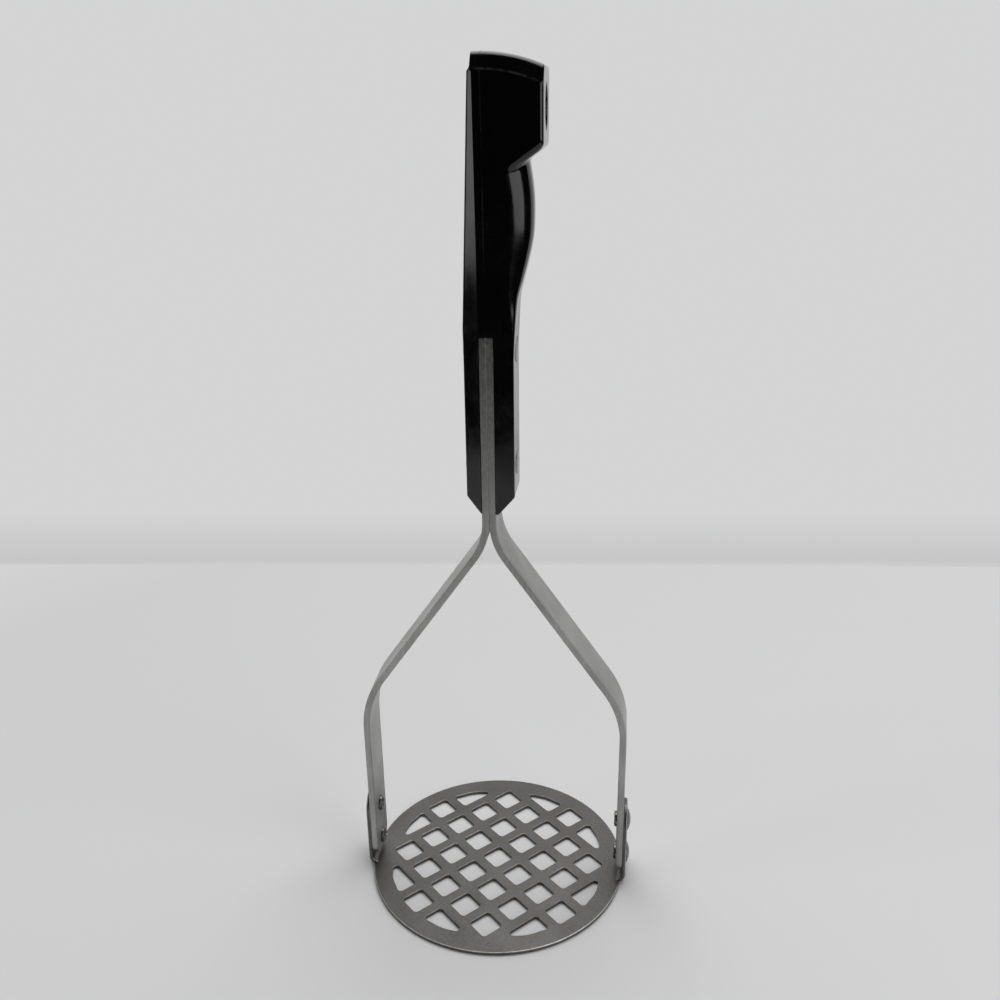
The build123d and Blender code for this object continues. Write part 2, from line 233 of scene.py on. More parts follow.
@dataclass(frozen=True)
class Viewpoint:
    """Where the photograph was taken from, and the lens it was taken with."""

    place_mm: tuple = (39.185, -287.999, 252.470)
    yaw_degrees: float = 7.244
    pitch_degrees: float = -21.26
    roll_degrees: float = -0.805
    lens_mm: float = 36.088
    sensor_mm: float = 36.0

    def matrix(self) -> Matrix:
        """Return the camera's placing: turned about Z, tipped down, then rolled about its line of sight."""
        turn = Matrix.Rotation(math.radians(self.yaw_degrees), 4, "Z")
        tip = Matrix.Rotation(math.radians(90 + self.pitch_degrees), 4, "X")
        roll = Matrix.Rotation(math.radians(self.roll_degrees), 4, "Z")
        return Matrix.Translation(Vector(self.place_mm) * MM) @ turn @ tip @ roll

    def build(self) -> None:
        """Make the camera and set it as the scene's own."""
        data = bpy.data.cameras.new("viewpoint")
        data.lens = self.lens_mm
        data.sensor_width = self.sensor_mm
        data.clip_start = 0.01
        camera = bpy.data.objects.new("viewpoint", data)
        camera.matrix_world = self.matrix()
        bpy.context.scene.collection.objects.link(camera)
        bpy.context.scene.camera = camera


class NodeBench:
    """Short calls for adding and joining the nodes of one tree."""

    def __init__(self, tree: bpy.types.NodeTree) -> None:
        """Keep the tree that the calls work on."""
        self.tree = tree

    def feed(self, node: bpy.types.Node, values: dict) -> None:
        """Give a node's inputs their values, or join their sources to them, by name or number."""
        for name, value in values.items():
            if isinstance(value, bpy.types.NodeSocket):
                self.tree.links.new(value, node.inputs[name])
            else:
                node.inputs[name].default_value = value

    def add(self, kind: str, values: dict = None, **settings) -> bpy.types.Node:
        """Add a node.

        Args:
            kind: Blender's name of the node, without the word that all shader nodes start with.
            values: Values or sources of its inputs, by name or number.
            settings: Its own settings.

        Returns:
            The node.
        """
        node = self.tree.nodes.new("ShaderNode" + kind)
        for name, value in settings.items():
            setattr(node, name, value)
        self.feed(node, values or {})
        return node

    def maths(self, operation: str, *values, clamp: bool = False) -> bpy.types.NodeSocket:
        """Add a sum of one, two or three values and return its result."""
        numbered = dict(enumerate(values))
        return self.add("Math", numbered, operation=operation, use_clamp=clamp).outputs[0]

    def spread(self, value: bpy.types.NodeSocket, start: tuple, end: tuple) -> bpy.types.NodeSocket:
        """Map a value from one range to another, held at its ends, and return it."""
        names = ("Value", "From Min", "From Max", "To Min", "To Max")
        return self.add("MapRange", dict(zip(names, (value, *start, *end))), clamp=True).outputs["Result"]

    def noise(self, place: bpy.types.NodeSocket, scale, detail: float = 2.0) -> bpy.types.NodeSocket:
        """Add a cloud pattern and return its value."""
        values = {"Vector": place, "Scale": scale, "Detail": detail}
        return self.add("TexNoise", values).outputs["Fac"]

    def stretched(self, place: bpy.types.NodeSocket, scale: tuple, turn: tuple = (0, 0, 0)):
        """Turn and scale a place, and return it."""
        return self.add("Mapping", {"Vector": place, "Scale": scale, "Rotation": turn}).outputs["Vector"]

    def mix(self, share, first, second) -> bpy.types.NodeSocket:
        """Mix two colours and return the result."""
        return self.add("Mix", {0: share, 6: first, 7: second}, data_type="RGBA").outputs[2]


def new_material(name: str) -> tuple:
    """Return a new material, the bench of its tree and its shader."""
    material = bpy.data.materials.new(name)
    material.use_nodes = True
    return material, NodeBench(material.node_tree), material.node_tree.nodes["Principled BSDF"]


class SharedEffects:
    """Node groups that more than one finish uses, each made once."""

    SCRATCH_WAYS = (((0.3, 0.5, 0.4), (1.0, 0.06, 1.0)), ((1.2, 0.2, 1.9), (1.0, 0.04, 1.0)))
    CREST_WIDTH = 0.007
    PATCH_SCALE = 70.0
    PATCH_CONTRAST = 8.0
    STAIN_RANGE = (0.32, 0.68)
    GRAIN_RANGE = (0.25, 0.75)
    PIT_SCALE = 2600.0
    PIT_RANGE = (0.66, 0.74)
    PIT_DARKNESS = 0.35
    PIT_DEPTH = 0.6
    RELIEF_DEPTH = 0.00004

    def __init__(self) -> None:
        """Make the groups."""
        self.worn_metal = self.make_worn_metal()
        self.scuffs = self.make_scuffs()

    @staticmethod
    def start(name: str, inputs: tuple, outputs: tuple) -> tuple:
        """Make an empty group.

        Args:
            name: Name of the group.
            inputs: Pairs of an input's name and its kind of socket.
            outputs: Pairs of an output's name and its kind of socket.

        Returns:
            The group, its bench, its input node and its output node.
        """
        group = bpy.data.node_groups.new(name, "ShaderNodeTree")
        for label, kind in inputs:
            group.interface.new_socket(label, in_out="INPUT", socket_type="NodeSocket" + kind)
        for label, kind in outputs:
            group.interface.new_socket(label, in_out="OUTPUT", socket_type="NodeSocket" + kind)
        entry = group.nodes.new("NodeGroupInput")
        leave = group.nodes.new("NodeGroupOutput")
        return group, NodeBench(group), entry, leave

    def make_scuffs(self) -> bpy.types.NodeTree:
        """Return the group of fine scratches: thin crests of two long stretched clouds, kept to patches."""
        inputs = (("Vector", "Vector"), ("Length", "Float"), ("Cover", "Float"))
        group, bench, entry, leave = self.start("scuffs", inputs, (("Mask", "Float"),))
        place = entry.outputs["Vector"]
        marks = []
        for turn, scale in self.SCRATCH_WAYS:
            long = bench.stretched(place, scale, turn)
            crest = bench.maths("SUBTRACT", bench.noise(long, entry.outputs["Length"], 1.0), 0.5)
            marks.append(bench.spread(bench.maths("ABSOLUTE", crest), (0.0, self.CREST_WIDTH), (1.0, 0.0)))
        both = bench.maths("MAXIMUM", *marks)
        threshold = bench.maths("SUBTRACT", 1.0, entry.outputs["Cover"])
        over = bench.maths("SUBTRACT", bench.noise(place, self.PATCH_SCALE), threshold)
        shown = bench.maths("MULTIPLY", over, self.PATCH_CONTRAST, clamp=True)
        bench.feed(leave, {"Mask": bench.maths("MULTIPLY", both, shown)})
        return group

    def make_worn_metal(self) -> bpy.types.NodeTree:
        """Return the group of worn steel: stains, fine grain and small pits in colour, gloss and relief."""
        numbers = ("Stain Scale", "Grain Share", "Smooth", "Rough", "Relief")
        inputs = (
            ("Vector", "Vector"),
            ("Grain Vector", "Vector"),
            ("Light", "Color"),
            ("Dark", "Color"),
            *((name, "Float") for name in numbers),
        )
        outputs = (("Color", "Color"), ("Roughness", "Float"), ("Normal", "Vector"))
        group, bench, entry, leave = self.start("worn_metal", inputs, outputs)
        given = entry.outputs
        stain = bench.noise(given["Vector"], given["Stain Scale"], 5.0)
        stain = bench.spread(stain, self.STAIN_RANGE, (0.0, 1.0))
        grain = bench.spread(bench.noise(given["Grain Vector"], 1.0, 3.0), self.GRAIN_RANGE, (0.0, 1.0))
        pits = bench.spread(bench.noise(given["Vector"], self.PIT_SCALE, 1.0), self.PIT_RANGE, (0.0, 1.0))
        steady = bench.maths("MULTIPLY", stain, bench.maths("SUBTRACT", 1.0, given["Grain Share"]))
        tone = bench.maths("MULTIPLY_ADD", grain, given["Grain Share"], steady)
        tone = bench.maths("SUBTRACT", tone, bench.maths("MULTIPLY", pits, self.PIT_DARKNESS), clamp=True)
        gap = bench.maths("SUBTRACT", given["Rough"], given["Smooth"])
        dull = bench.maths("SUBTRACT", 1.0, tone)
        height = bench.maths("MULTIPLY_ADD", pits, -self.PIT_DEPTH, grain)
        relief = {"Height": height, "Strength": given["Relief"], "Distance": self.RELIEF_DEPTH}
        results = {
            "Color": bench.mix(tone, given["Dark"], given["Light"]),
            "Roughness": bench.maths("MULTIPLY_ADD", dull, gap, given["Smooth"]),
            "Normal": bench.add("Bump", relief).outputs["Normal"],
        }
        bench.feed(leave, results)
        return group


class Slot(Enum):
    """The record's material slots."""

    HANDLE = "handle_plastic"
    LEG = "leg_steel"
    PLATE = "plate_steel"
    RIVET = "rivet_steel"


@dataclass(frozen=True)
class BlackPlastic:
    """The moulded black plastic: glossy, finely scratched, hazy where held, with a painted highlight line on
    the end bevels.
    """

    slot: Slot = Slot.HANDLE
    colour: tuple = (0.0011, 0.0011, 0.0012, 1)
    scuffed: tuple = (0.007, 0.007, 0.0073, 1)
    film: tuple = (0.004, 0.004, 0.0043, 1)
    # Colour of the painted highlight line along the end bevels.
    bevel_highlight_colour: tuple = (0.05, 0.05, 0.052, 1)
    specular: float = 0.46
    gloss: float = 0.07
    haze: float = 0.2
    haze_scale: float = 55.0
    haze_range: tuple = (0.35, 0.7)
    scratch_scale: float = 900.0
    scratch_cover: float = 0.52
    scratch_roughness: float = 0.16
    scratch_depth: float = 0.8
    film_scale: float = 320.0
    film_range: tuple = (0.42, 0.7)
    film_roughness: float = 0.05
    held_from: float = 0.232
    held_to: float = 0.165
    texture_scale: float = 1500.0
    relief: float = 0.16
    relief_depth: float = 0.00003
    bevel_centre: tuple = (0.0008, 0.0, -0.2217)
    bevel_radius: float = 0.0408
    bevel_reach: float = 0.0004
    bevel_patch_scale: float = 420.0
    bevel_patch_range: tuple = (0.4, 0.62)
    least_bevel_highlight: float = 0.15

    def material(self, shared: SharedEffects) -> bpy.types.Material:
        """Return the material.

        Args:
            shared: The groups that finishes share.
        """
        material, bench, shader = new_material(self.slot.value)
        place = bench.add("TexCoord").outputs["Object"]
        scratches = {"Vector": place, "Length": self.scratch_scale, "Cover": self.scratch_cover}
        mask = bench.add("Group", scratches, node_tree=shared.scuffs).outputs["Mask"]
        clouds = bench.noise(place, self.haze_scale, 4.0)
        haze = bench.spread(clouds, self.haze_range, (self.gloss, self.haze))
        rough = bench.maths("MULTIPLY_ADD", mask, self.scratch_roughness, haze)
        height = bench.add("SeparateXYZ", {0: place}).outputs["Z"]
        held = bench.spread(height, (self.held_to, self.held_from), (1.0, 0.0))
        smears = bench.spread(bench.noise(place, self.film_scale, 6.0), self.film_range, (0.0, 1.0))
        film = bench.maths("MULTIPLY", held, smears)
        texture = bench.noise(place, self.texture_scale, 2.0)
        texture = bench.maths("MULTIPLY_ADD", mask, -self.scratch_depth, texture)
        relief = {"Height": texture, "Strength": self.relief, "Distance": self.relief_depth}
        colour = bench.mix(mask, self.colour, self.scuffed)
        colour = bench.mix(film, colour, self.film)
        values = {
            # Base colour lightened along the end bevels' crease: a painted highlight where the edge would
            # catch light.
            "Base Color": bench.mix(self.painted_bevel_highlight(bench, place), colour, self.bevel_highlight_colour),
            "Roughness": bench.maths("MULTIPLY_ADD", film, self.film_roughness, rough),
            "Specular IOR Level": self.specular,
            "Normal": bench.add("Bump", relief).outputs["Normal"],
        }
        bench.feed(shader, values)
        return material

    def painted_bevel_highlight(self, bench: NodeBench, place: bpy.types.NodeSocket) -> bpy.types.NodeSocket:
        """Return the mask of the painted highlight line along the end bevels, where their edge would catch
        light.

        It is the upper half of a circle about the crown's axis.

        Args:
            bench: The material's bench.
            place: The place on the handle.
        """
        across = bench.add("VectorMath", {0: place, 1: (1.0, 0.0, 1.0)}, operation="MULTIPLY").outputs[0]
        arm = bench.add("VectorMath", {0: across, 1: self.bevel_centre}, operation="ADD").outputs[0]
        length = bench.add("VectorMath", {0: arm}, operation="LENGTH").outputs["Value"]
        off = bench.maths("ABSOLUTE", bench.maths("SUBTRACT", length, self.bevel_radius))
        above = bench.maths("GREATER_THAN", bench.add("SeparateXYZ", {0: arm}).outputs["Z"], 0.0)
        line = bench.maths("MULTIPLY", above, bench.spread(off, (0.0, self.bevel_reach), (1.0, 0.0)))
        clouds = bench.noise(place, self.bevel_patch_scale, 4.0)
        patches = bench.spread(clouds, self.bevel_patch_range, (self.least_bevel_highlight, 1.0))
        return bench.maths("MULTIPLY", line, patches)


@dataclass(frozen=True)
class Steel:
    """A worn steel: how light it is, how its grain lies, how rough it is and how its worked edges look; a
    light edge colour is partly wear and partly a painted highlight.
    """

    slot: Slot
    light: tuple
    dark: tuple
    grain_scale: tuple
    stain_scale: float = 60.0
    grain_share: float = 0.5
    smooth: float = 0.3
    rough: float = 0.5
    relief: float = 0.4
    grain_on_uv: bool = False
    edge_share: float = 0.0
    edge_colour: tuple = (0.0, 0.0, 0.0)
    edge_scale: float = 700.0
    edge_range: tuple = (0.3, 0.6)
    least_edge: float = 0.55
    scratch_scale: float = 1100.0
    scratch_cover: float = 0.5
    scratch_share: float = 0.5
    polish: float = 1.35

    def material(self, shared: SharedEffects) -> bpy.types.Material:
        """Return the material.

        Args:
            shared: The groups that finishes share.
        """
        material, bench, shader = new_material(self.slot.value)
        places = bench.add("TexCoord").outputs
        place = places["Object"]
        worn = {
            "Vector": place,
            "Grain Vector": bench.stretched(places["UV"] if self.grain_on_uv else place, self.grain_scale),
            "Light": (*self.light, 1),
            "Dark": (*self.dark, 1),
            "Stain Scale": self.stain_scale,
            "Grain Share": self.grain_share,
            "Smooth": self.smooth,
            "Rough": self.rough,
            "Relief": self.relief,
        }
        metal = bench.add("Group", worn, node_tree=shared.worn_metal).outputs
        scratches = {"Vector": place, "Length": self.scratch_scale, "Cover": self.scratch_cover}
        mask = bench.add("Group", scratches, node_tree=shared.scuffs).outputs["Mask"]
        polished = tuple(min(1.0, part * self.polish) for part in self.light) + (1,)
        colour = bench.mix(bench.maths("MULTIPLY", mask, self.scratch_share), metal["Color"], polished)
        # Marked edges take the edge colour: dark on the legs' cut edges; light on the plate, partly wear and
        # partly a painted highlight.
        if self.edge_share:
            edge = bench.add("Attribute", attribute_name=EDGE).outputs["Fac"]
            clouds = bench.noise(place, self.edge_scale, 3.0)
            broken = bench.spread(clouds, self.edge_range, (self.least_edge, 1.0))
            share = bench.maths("MULTIPLY", bench.maths("MULTIPLY", edge, broken), self.edge_share)
            colour = bench.mix(share, colour, (*self.edge_colour, 1))
        values = {
            "Base Color": colour,
            "Metallic": 1.0,
            "Roughness": metal["Roughness"],
            "Normal": metal["Normal"],
        }
        bench.feed(shader, values)
        return material


class Finishes:
    """Every finish of the masher, by its slot."""

    def __init__(self) -> None:
        """Make the shared groups and the four materials."""
        shared = SharedEffects()
        kinds = (
            BlackPlastic(),
            Steel(
                Slot.LEG,
                light=(0.5, 0.5, 0.49),
                dark=(0.33, 0.33, 0.322),
                grain_scale=(60.0, 3200.0, 1.0),
                smooth=0.34,
                rough=0.52,
                grain_on_uv=True,
                edge_share=1.0,
                edge_colour=(0.16, 0.158, 0.152),
            ),
            Steel(
                Slot.PLATE,
                light=(0.165, 0.161, 0.153),
                dark=(0.095, 0.093, 0.088),
                grain_scale=(1300.0, 1300.0, 1300.0),
                smooth=0.3,
                rough=0.5,
                # The plate's light edge colour is partly edge wear and partly a painted highlight along the
                # rim and hole edges.
                edge_share=0.9,
                edge_colour=(0.6, 0.595, 0.58),
            ),
            Steel(
                Slot.RIVET,
                light=(0.24, 0.236, 0.228),
                dark=(0.09, 0.088, 0.084),
                grain_scale=(900.0, 900.0, 900.0),
                stain_scale=400.0,
                smooth=0.2,
                rough=0.38,
            ),
        )
        self.by_slot = {kind.slot: kind.material(shared) for kind in kinds}

    def dress(self, thing: bpy.types.Object, slot: Slot) -> None:
        """Give an object the material of a slot."""
        thing.data.materials.clear()
        thing.data.materials.append(self.by_slot[slot])


def place_piece(name: str, mesh: bpy.types.Mesh, node: str, slot: Slot, finishes: Finishes) -> None:
    """Put a finished mesh into the scene in place of a CAD node.

    Args:
        name: Name of the piece.
        mesh: Its mesh, in place.
        node: The CAD node that it stands for.
        slot: Its material slot.
        finishes: The finishes.
    """
    piece = bpy.data.objects.new(name, mesh)
    bpy.context.scene.collection.objects.link(piece)
    finishes.dress(piece, slot)
    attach(piece, "root")
    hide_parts(node)
    LOG.info("made %s with %d faces", name, len(mesh.polygons))


@dataclass(frozen=True)
class SoftBox:
    """A rectangular soft light that faces a point."""

    name: str
    place: tuple
    aim: tuple
    width: float
    height: float
    watts: float
    colour: tuple = (1.0, 1.0, 1.0)

    def build(self) -> None:
        """Make the light, turned so that it shines at its aim."""
        data = bpy.data.lights.new(self.name, "AREA")
        data.shape = "RECTANGLE"
        data.size = self.width
        data.size_y = self.height
        data.energy = self.watts
        data.color = self.colour
        lamp = bpy.data.objects.new(self.name, data)
        lamp.location = self.place
        sight = Vector(self.aim) - Vector(self.place)
        lamp.rotation_euler = sight.to_track_quat("-Z", "Y").to_euler()
        bpy.context.scene.collection.objects.link(lamp)


@dataclass
class Studio:
    """The plain pale floor, its low backdrop, the lamps and the surround."""

    half_width: float = 0.45
    floor_front: float = -0.45
    floor_back: float = 0.6
    backdrop_y: float = 0.262
    wall_turn_degrees: float = 5.0
    cove_radius: float = 0.012
    cove_steps: int = 13
    wall_clearance: float = 0.0002
    backdrop_top: float = 0.42
    paper_colour: tuple = (0.745, 0.745, 0.75)
    paper_roughness: float = 0.95
    paper_specular: float = 0.1
    surround_colour: tuple = (0.66, 0.66, 0.665, 1)
    ceiling_strength: float = 1.9
    horizon_strength: float = 0.015
    sky_lean: tuple = (0.0, 0.5, 0.866)
    sky_reach: tuple = (0.76, 1.0)
    fade_reach: tuple = (0.3, 0.42)
    wall_levels: tuple = (0.0001, 0.0015)
    # Painted shade at the wall's foot: its height, its strength, and where it fades out towards the wall's
    # ends.
    foot_shade_height: float = 0.03
    foot_shade: float = 0.86
    foot_shade_ends: tuple = (0.24, 0.36)
    lamps: tuple = (
        SoftBox("top_box", (0.1, 0.45, 1.5), (0.0, 0.0, 0.05), 1.5, 1.2, 11.5),
        SoftBox("left_box", (-1.2, -0.45, 0.33), (0.0, 0.0, 0.2), 0.5, 0.75, 2.5),
        SoftBox("right_box", (0.971, -0.516, 0.37), (0.0, 0.0, 0.2), 0.95, 0.76, 4.1),
    )

    def sheet(
        self, name: str, y: np.ndarray, z: np.ndarray, paper: bpy.types.Material, turn_degrees: float = 0.0
    ) -> bpy.types.Object:
        """Make one sheet of the stage: a profile carried along X, then turned about the floor's middle.

        Args:
            name: Name of the sheet.
            y: The profile's places along Y, from the front.
            z: Its heights.
            paper: Its material.
            turn_degrees: How far the sheet is turned.

        Returns:
            The sheet's object.
        """
        x, y = np.meshgrid(np.array([-self.half_width, self.half_width]), y)
        z = np.repeat(z[:, None], 2, axis=1)
        cos, sin = math.cos(math.radians(turn_degrees)), math.sin(math.radians(turn_degrees))
        points = np.stack((x * cos - y * sin, x * sin + y * cos, z), axis=-1)
        mesh = bpy.data.meshes.new(name)
        mesh.from_pydata(points.reshape(-1, 3).tolist(), [], grid_faces(len(points), 2).tolist())
        mesh.shade_smooth()
        mesh.materials.append(paper)
        sheet = bpy.data.objects.new(name, mesh)
        bpy.context.scene.collection.objects.link(sheet)
        return sheet

    def backdrop(self) -> None:
        """Make the floor, and the low wall with a round at its foot, which shades nothing."""
        paper = self.paper()
        self.sheet("studio_floor", np.array([self.floor_front, self.floor_back]), np.zeros(2), paper)
        turn = np.linspace(0, TURN / 4, self.cove_steps)
        y = np.append(self.backdrop_y - self.cove_radius * (1 - np.sin(turn)), self.backdrop_y)
        z = np.append(self.cove_radius * (1 - np.cos(turn)) + self.wall_clearance, self.backdrop_top)
        wall = self.sheet("studio_wall", y, z, paper, self.wall_turn_degrees)
        wall.visible_shadow = False
        wall.visible_diffuse = False

    def paper(self) -> bpy.types.Material:
        """Return the stage's material: matt and pale, plain on the wall and far off, with painted shade at
        the wall's foot, clear from behind.
        """
        paper, bench, shader = new_material("pale_paper")
        matt = {
            "Base Color": (*self.paper_colour, 1),
            "Roughness": self.paper_roughness,
            "Specular IOR Level": self.paper_specular,
        }
        bench.feed(shader, matt)
        places = bench.add("NewGeometry").outputs
        rays = bench.add("LightPath").outputs
        seen = bench.maths("MAXIMUM", rays["Is Camera Ray"], rays["Is Glossy Ray"])
        x, y, z = bench.add("SeparateXYZ", {0: places["Position"]}).outputs
        squares = bench.maths("MULTIPLY_ADD", y, y, bench.maths("MULTIPLY", x, x))
        far = bench.spread(bench.maths("SQRT", squares), self.fade_reach, (0.0, 1.0))
        high = bench.spread(z, self.wall_levels, (0.0, 1.0))
        plain = bench.maths("MULTIPLY", bench.maths("MAXIMUM", far, high), seen)
        # Painted shade: the wall's glow is darkened towards its foot, where the fold is in shade, and the
        # darkening fades towards the wall's ends.
        foot = bench.spread(z, (0.0, self.foot_shade_height), (self.foot_shade, 1.0))
        foot = bench.maths("MAXIMUM", foot, bench.maths("SUBTRACT", 1.0, high))
        ends = bench.spread(bench.maths("ABSOLUTE", x), self.foot_shade_ends, (0.0, 1.0))
        level = bench.maths("MAXIMUM", foot, ends)
        pale = bench.add("Emission", {"Color": self.surround_colour, "Strength": level}).outputs[0]
        face = bench.add("MixShader", {0: plain, 1: shader.outputs[0], 2: pale}).outputs[0]
        share = bench.maths("MULTIPLY", places["Backfacing"], rays["Is Camera Ray"])
        clear = bench.add("BsdfTransparent").outputs[0]
        blend = bench.add("MixShader", {0: share, 1: face, 2: clear}).outputs[0]
        bench.feed(bench.tree.nodes["Material Output"], {"Surface": blend})
        return paper

    def surround(self) -> None:
        """Give the scene a surround: pale to the camera, otherwise dark at the horizon and light overhead."""
        world = bpy.data.worlds.new("surround")
        world.use_nodes = True
        bench = NodeBench(world.node_tree)
        ways = bench.add("TexCoord").outputs["Generated"]
        up = bench.add("VectorMath", {0: ways, 1: self.sky_lean}, operation="DOT_PRODUCT").outputs["Value"]
        level = bench.spread(up, self.sky_reach, (self.horizon_strength, self.ceiling_strength))
        seen = bench.add("LightPath").outputs["Is Camera Ray"]
        light = bench.add("Background", {"Color": (1, 1, 1, 1), "Strength": level}).outputs[0]
        pale = bench.add("Background", {"Color": self.surround_colour, "Strength": 1.0}).outputs[0]
        blend = bench.add("MixShader", {0: seen, 1: light, 2: pale}).outputs[0]
        bench.feed(bench.tree.nodes["World Output"], {"Surface": blend})
        bpy.context.scene.world = world

    def build(self) -> None:
        """Make the stage, the lamps and the surround."""
        self.backdrop()
        self.surround()
        for lamp in self.lamps:
            lamp.build()
        bpy.context.scene.view_settings.view_transform = "Standard"


@dataclass
class Handle:
    """The moulded handle, in millimetres: flat sides, facets at the back, finger swell, end block, crown."""

    bottom_z: float = 137.4
    top_z: float = 266.8
    back_x: float = 7.1
    back_bend_z: float = 194.0
    back_shoulder_z: float = 262.0
    back_shoulder_x: float = 3.5
    back_step_z: float = 262.9
    back_step_x: float = 2.75
    back_top_x: float = 2.7
    facet_start_x: float = 2.05
    facet_degrees: float = 31.0
    front_x: float = 8.0
    flat_edge_x: float = 7.75
    neck_flat_edge_x: float = 6.3
    swell_x: float = 13.55
    block_x: float = 16.65
    swell_start_z: float = 186.0
    swell_top_z: float = 242.0
    front_half_depth: float = 7.0
    nose_flat_half_depth: float = 0.9
    grip_half_depth: float = 7.35
    top_half_depth: float = 10.7
    depth_bend_z: float = 188.0
    ramp_z: float = 235.8
    ramp_degrees: float = 35.0
    ramp_side_radius: float = 2.0
    block_edge_radius: float = 1.4
    neck_ease: float = 1.6
    ramp_ease: float = 1.7
    back_ease: float = 0.6
    crown_radius: float = 45.0
    crown_centre_x: float = -0.8
    bevel_half_depth: float = 7.5
    bevel_slope: float = 4.7 / 3.0
    bevel_ease: float = 0.9
    top_edge_radius: float = 0.5
    bottom_edge_radius: float = 0.3
    back_mouth: tuple = (4.8, 4.8)
    front_mouth: tuple = (5.0, 5.8)
    parting_height: float = 0.1
    parting_width: float = 0.15
    tang_top_z: float = 192.05
    slot_half_width: float = 2.25
    rivet_z: tuple = (152.3, 187.2)
    seat_radius: float = 3.6
    seat_depth: float = 0.9
    hang_hole_z: float = 253.25
    hang_hole_half_height: float = 5.8
    hang_hole_half_depth: float = 3.9
    hang_hole_lip: float = 0.5
    hang_hole_steps: int = 72
    lip_turn_degrees: float = 70.0
    lip_steps: int = 8
    lip_overrun: float = 0.3
    slot_overrun: float = 4.0
    seat_flare: float = 0.16
    seat_round_share: float = 0.3
    seat_spread: float = 3.4
    seat_overrun: float = 3.0
    seat_steps: int = 72
    mouth_ease: float = 0.4
    half_rows: int = 28
    evenness: float = 0.3
    back_lines: tuple = (0.0, 0.05, 0.16, 0.34, 0.55, 0.78)
    parting_lines: tuple = (-0.34, -0.24, -0.16, -0.08, 0.0, 0.08, 0.16, 0.24, 0.34)
    front_lines: int = 22
    side_share: float = 0.9999
    lower_rim_z: float = 146.0
    upper_rim_z: float = 246.0
    row_steps: tuple = ((146.0, 2.0), (192.0, 0.8), (232.0, 0.25))
    lower_rim_rows: int = 12
    upper_rim_rows: int = 34
    rim_crowding: float = 0.8
    edge_steps: int = 6
    swell_shares: tuple = (
        (0.00, 0.00, 0.00),
        (0.05, 0.08, 0.25),
        (0.11, 0.20, 0.53),
        (0.21, 0.42, 0.69),
        (0.49, 0.70, 0.69),
        (0.75, 0.88, 0.62),
        (0.945, 0.97, 0.57),
        (1.00, 1.00, 0.54),
        (0.98, 1.00, 0.64),
        (0.86, 1.00, 0.94),
        (0.68, 1.00, 1.20),
    )

    def half_depth(self, z: np.ndarray) -> np.ndarray:
        """Return half the depth at a height: even beside the tang, then widening evenly to the end."""
        share = np.clip(z - self.depth_bend_z, 0, None) / (self.top_z - self.depth_bend_z)
        return self.grip_half_depth + share * (self.top_half_depth - self.grip_half_depth)

    def back_reach(self, z: np.ndarray) -> np.ndarray:
        """Return how far the back is from the axis: even, then leaning in, with a step at its shoulder."""
        heights = (self.back_bend_z, self.back_shoulder_z, self.back_step_z, self.top_z)
        return np.interp(z, heights, (self.back_x, self.back_shoulder_x, self.back_step_x, self.back_top_x))

    def swell(self, z: np.ndarray) -> tuple:
        """Return the swell's three shares at a height, on cubics through its rows."""
        rows = np.array(self.swell_shares)
        slopes = np.gradient(rows, axis=0)
        last = len(rows) - 1
        place = (z - self.swell_start_z) / (self.swell_top_z - self.swell_start_z) * last
        place = np.clip(place, 0, last)
        row = np.minimum(place.astype(int), last - 1)
        t = (place - row)[..., None]
        start = rows[row] * (1 + 2 * t) * (1 - t) ** 2 + slopes[row] * t * (1 - t) ** 2
        end = rows[row + 1] * t * t * (3 - 2 * t) + slopes[row + 1] * t * t * (t - 1)
        shares = start + end
        return shares[..., 0], shares[..., 1], shares[..., 2]

    def front_reach(self, z: np.ndarray, y: np.ndarray, half: np.ndarray) -> np.ndarray:
        """Return the distance of the front from the axis.

        The nose is flat in its middle and falls to the flats' edges on arcs. The end block is the nearer of
        its slanted underside and its front face, both rounded at the sides. The further of the two shows.

        Args:
            z: Height.
            y: Distance to either side.
            half: Half the depth at that height.
        """
        rise, narrowing, drawing = self.swell(z)
        nose_x = self.front_x + rise * (self.swell_x - self.front_x)
        nose_half = self.front_half_depth + narrowing * (self.nose_flat_half_depth - self.front_half_depth)
        flat_x = self.flat_edge_x + drawing * (self.neck_flat_edge_x - self.flat_edge_x)
        reach = nose_x - flat_x
        fall = half - nose_half
        radius = (reach * reach + fall * fall) / (2 * reach)
        over = np.clip(np.abs(y) - nose_half, 0, None)
        nose = nose_x - radius + np.sqrt(np.clip(radius * radius - over * over, 0, None))
        edge = half - np.abs(y)
        slant = math.radians(self.ramp_degrees)
        ramp = self.neck_flat_edge_x + (z - self.ramp_z) / math.tan(slant)
        ramp = ramp - round_drop(edge, self.ramp_side_radius) / math.sin(slant)
        face = self.block_x - round_drop(edge, self.block_edge_radius)
        return smooth_max(nose, smooth_min(ramp, face, self.ramp_ease), self.neck_ease)

    def crown(self, x: np.ndarray, y: np.ndarray) -> np.ndarray:
        """Return the height of the end: a round about Y, whose radius shrinks evenly beyond the creases."""
        beyond = smooth_max(np.abs(y) - self.bevel_half_depth, np.zeros_like(y), self.bevel_ease)
        radius = self.crown_radius - self.bevel_slope * beyond
        return self.top_z - self.crown_radius + np.sqrt(radius**2 - (x - self.crown_centre_x) ** 2)

    def mouth(self, x: np.ndarray, y: np.ndarray) -> np.ndarray:
        """Return the height of the lower end: level in the middle, bevelled at the back and at the front."""
        back = (-x - self.back_x + self.back_mouth[0]) * self.back_mouth[1] / self.back_mouth[0]
        front = (x - self.front_x + self.front_mouth[0]) * self.front_mouth[1] / self.front_mouth[0]
        bevels = smooth_max(back, front, self.mouth_ease)
        return self.bottom_z + smooth_max(bevels, np.zeros_like(x), self.mouth_ease) + 0 * y

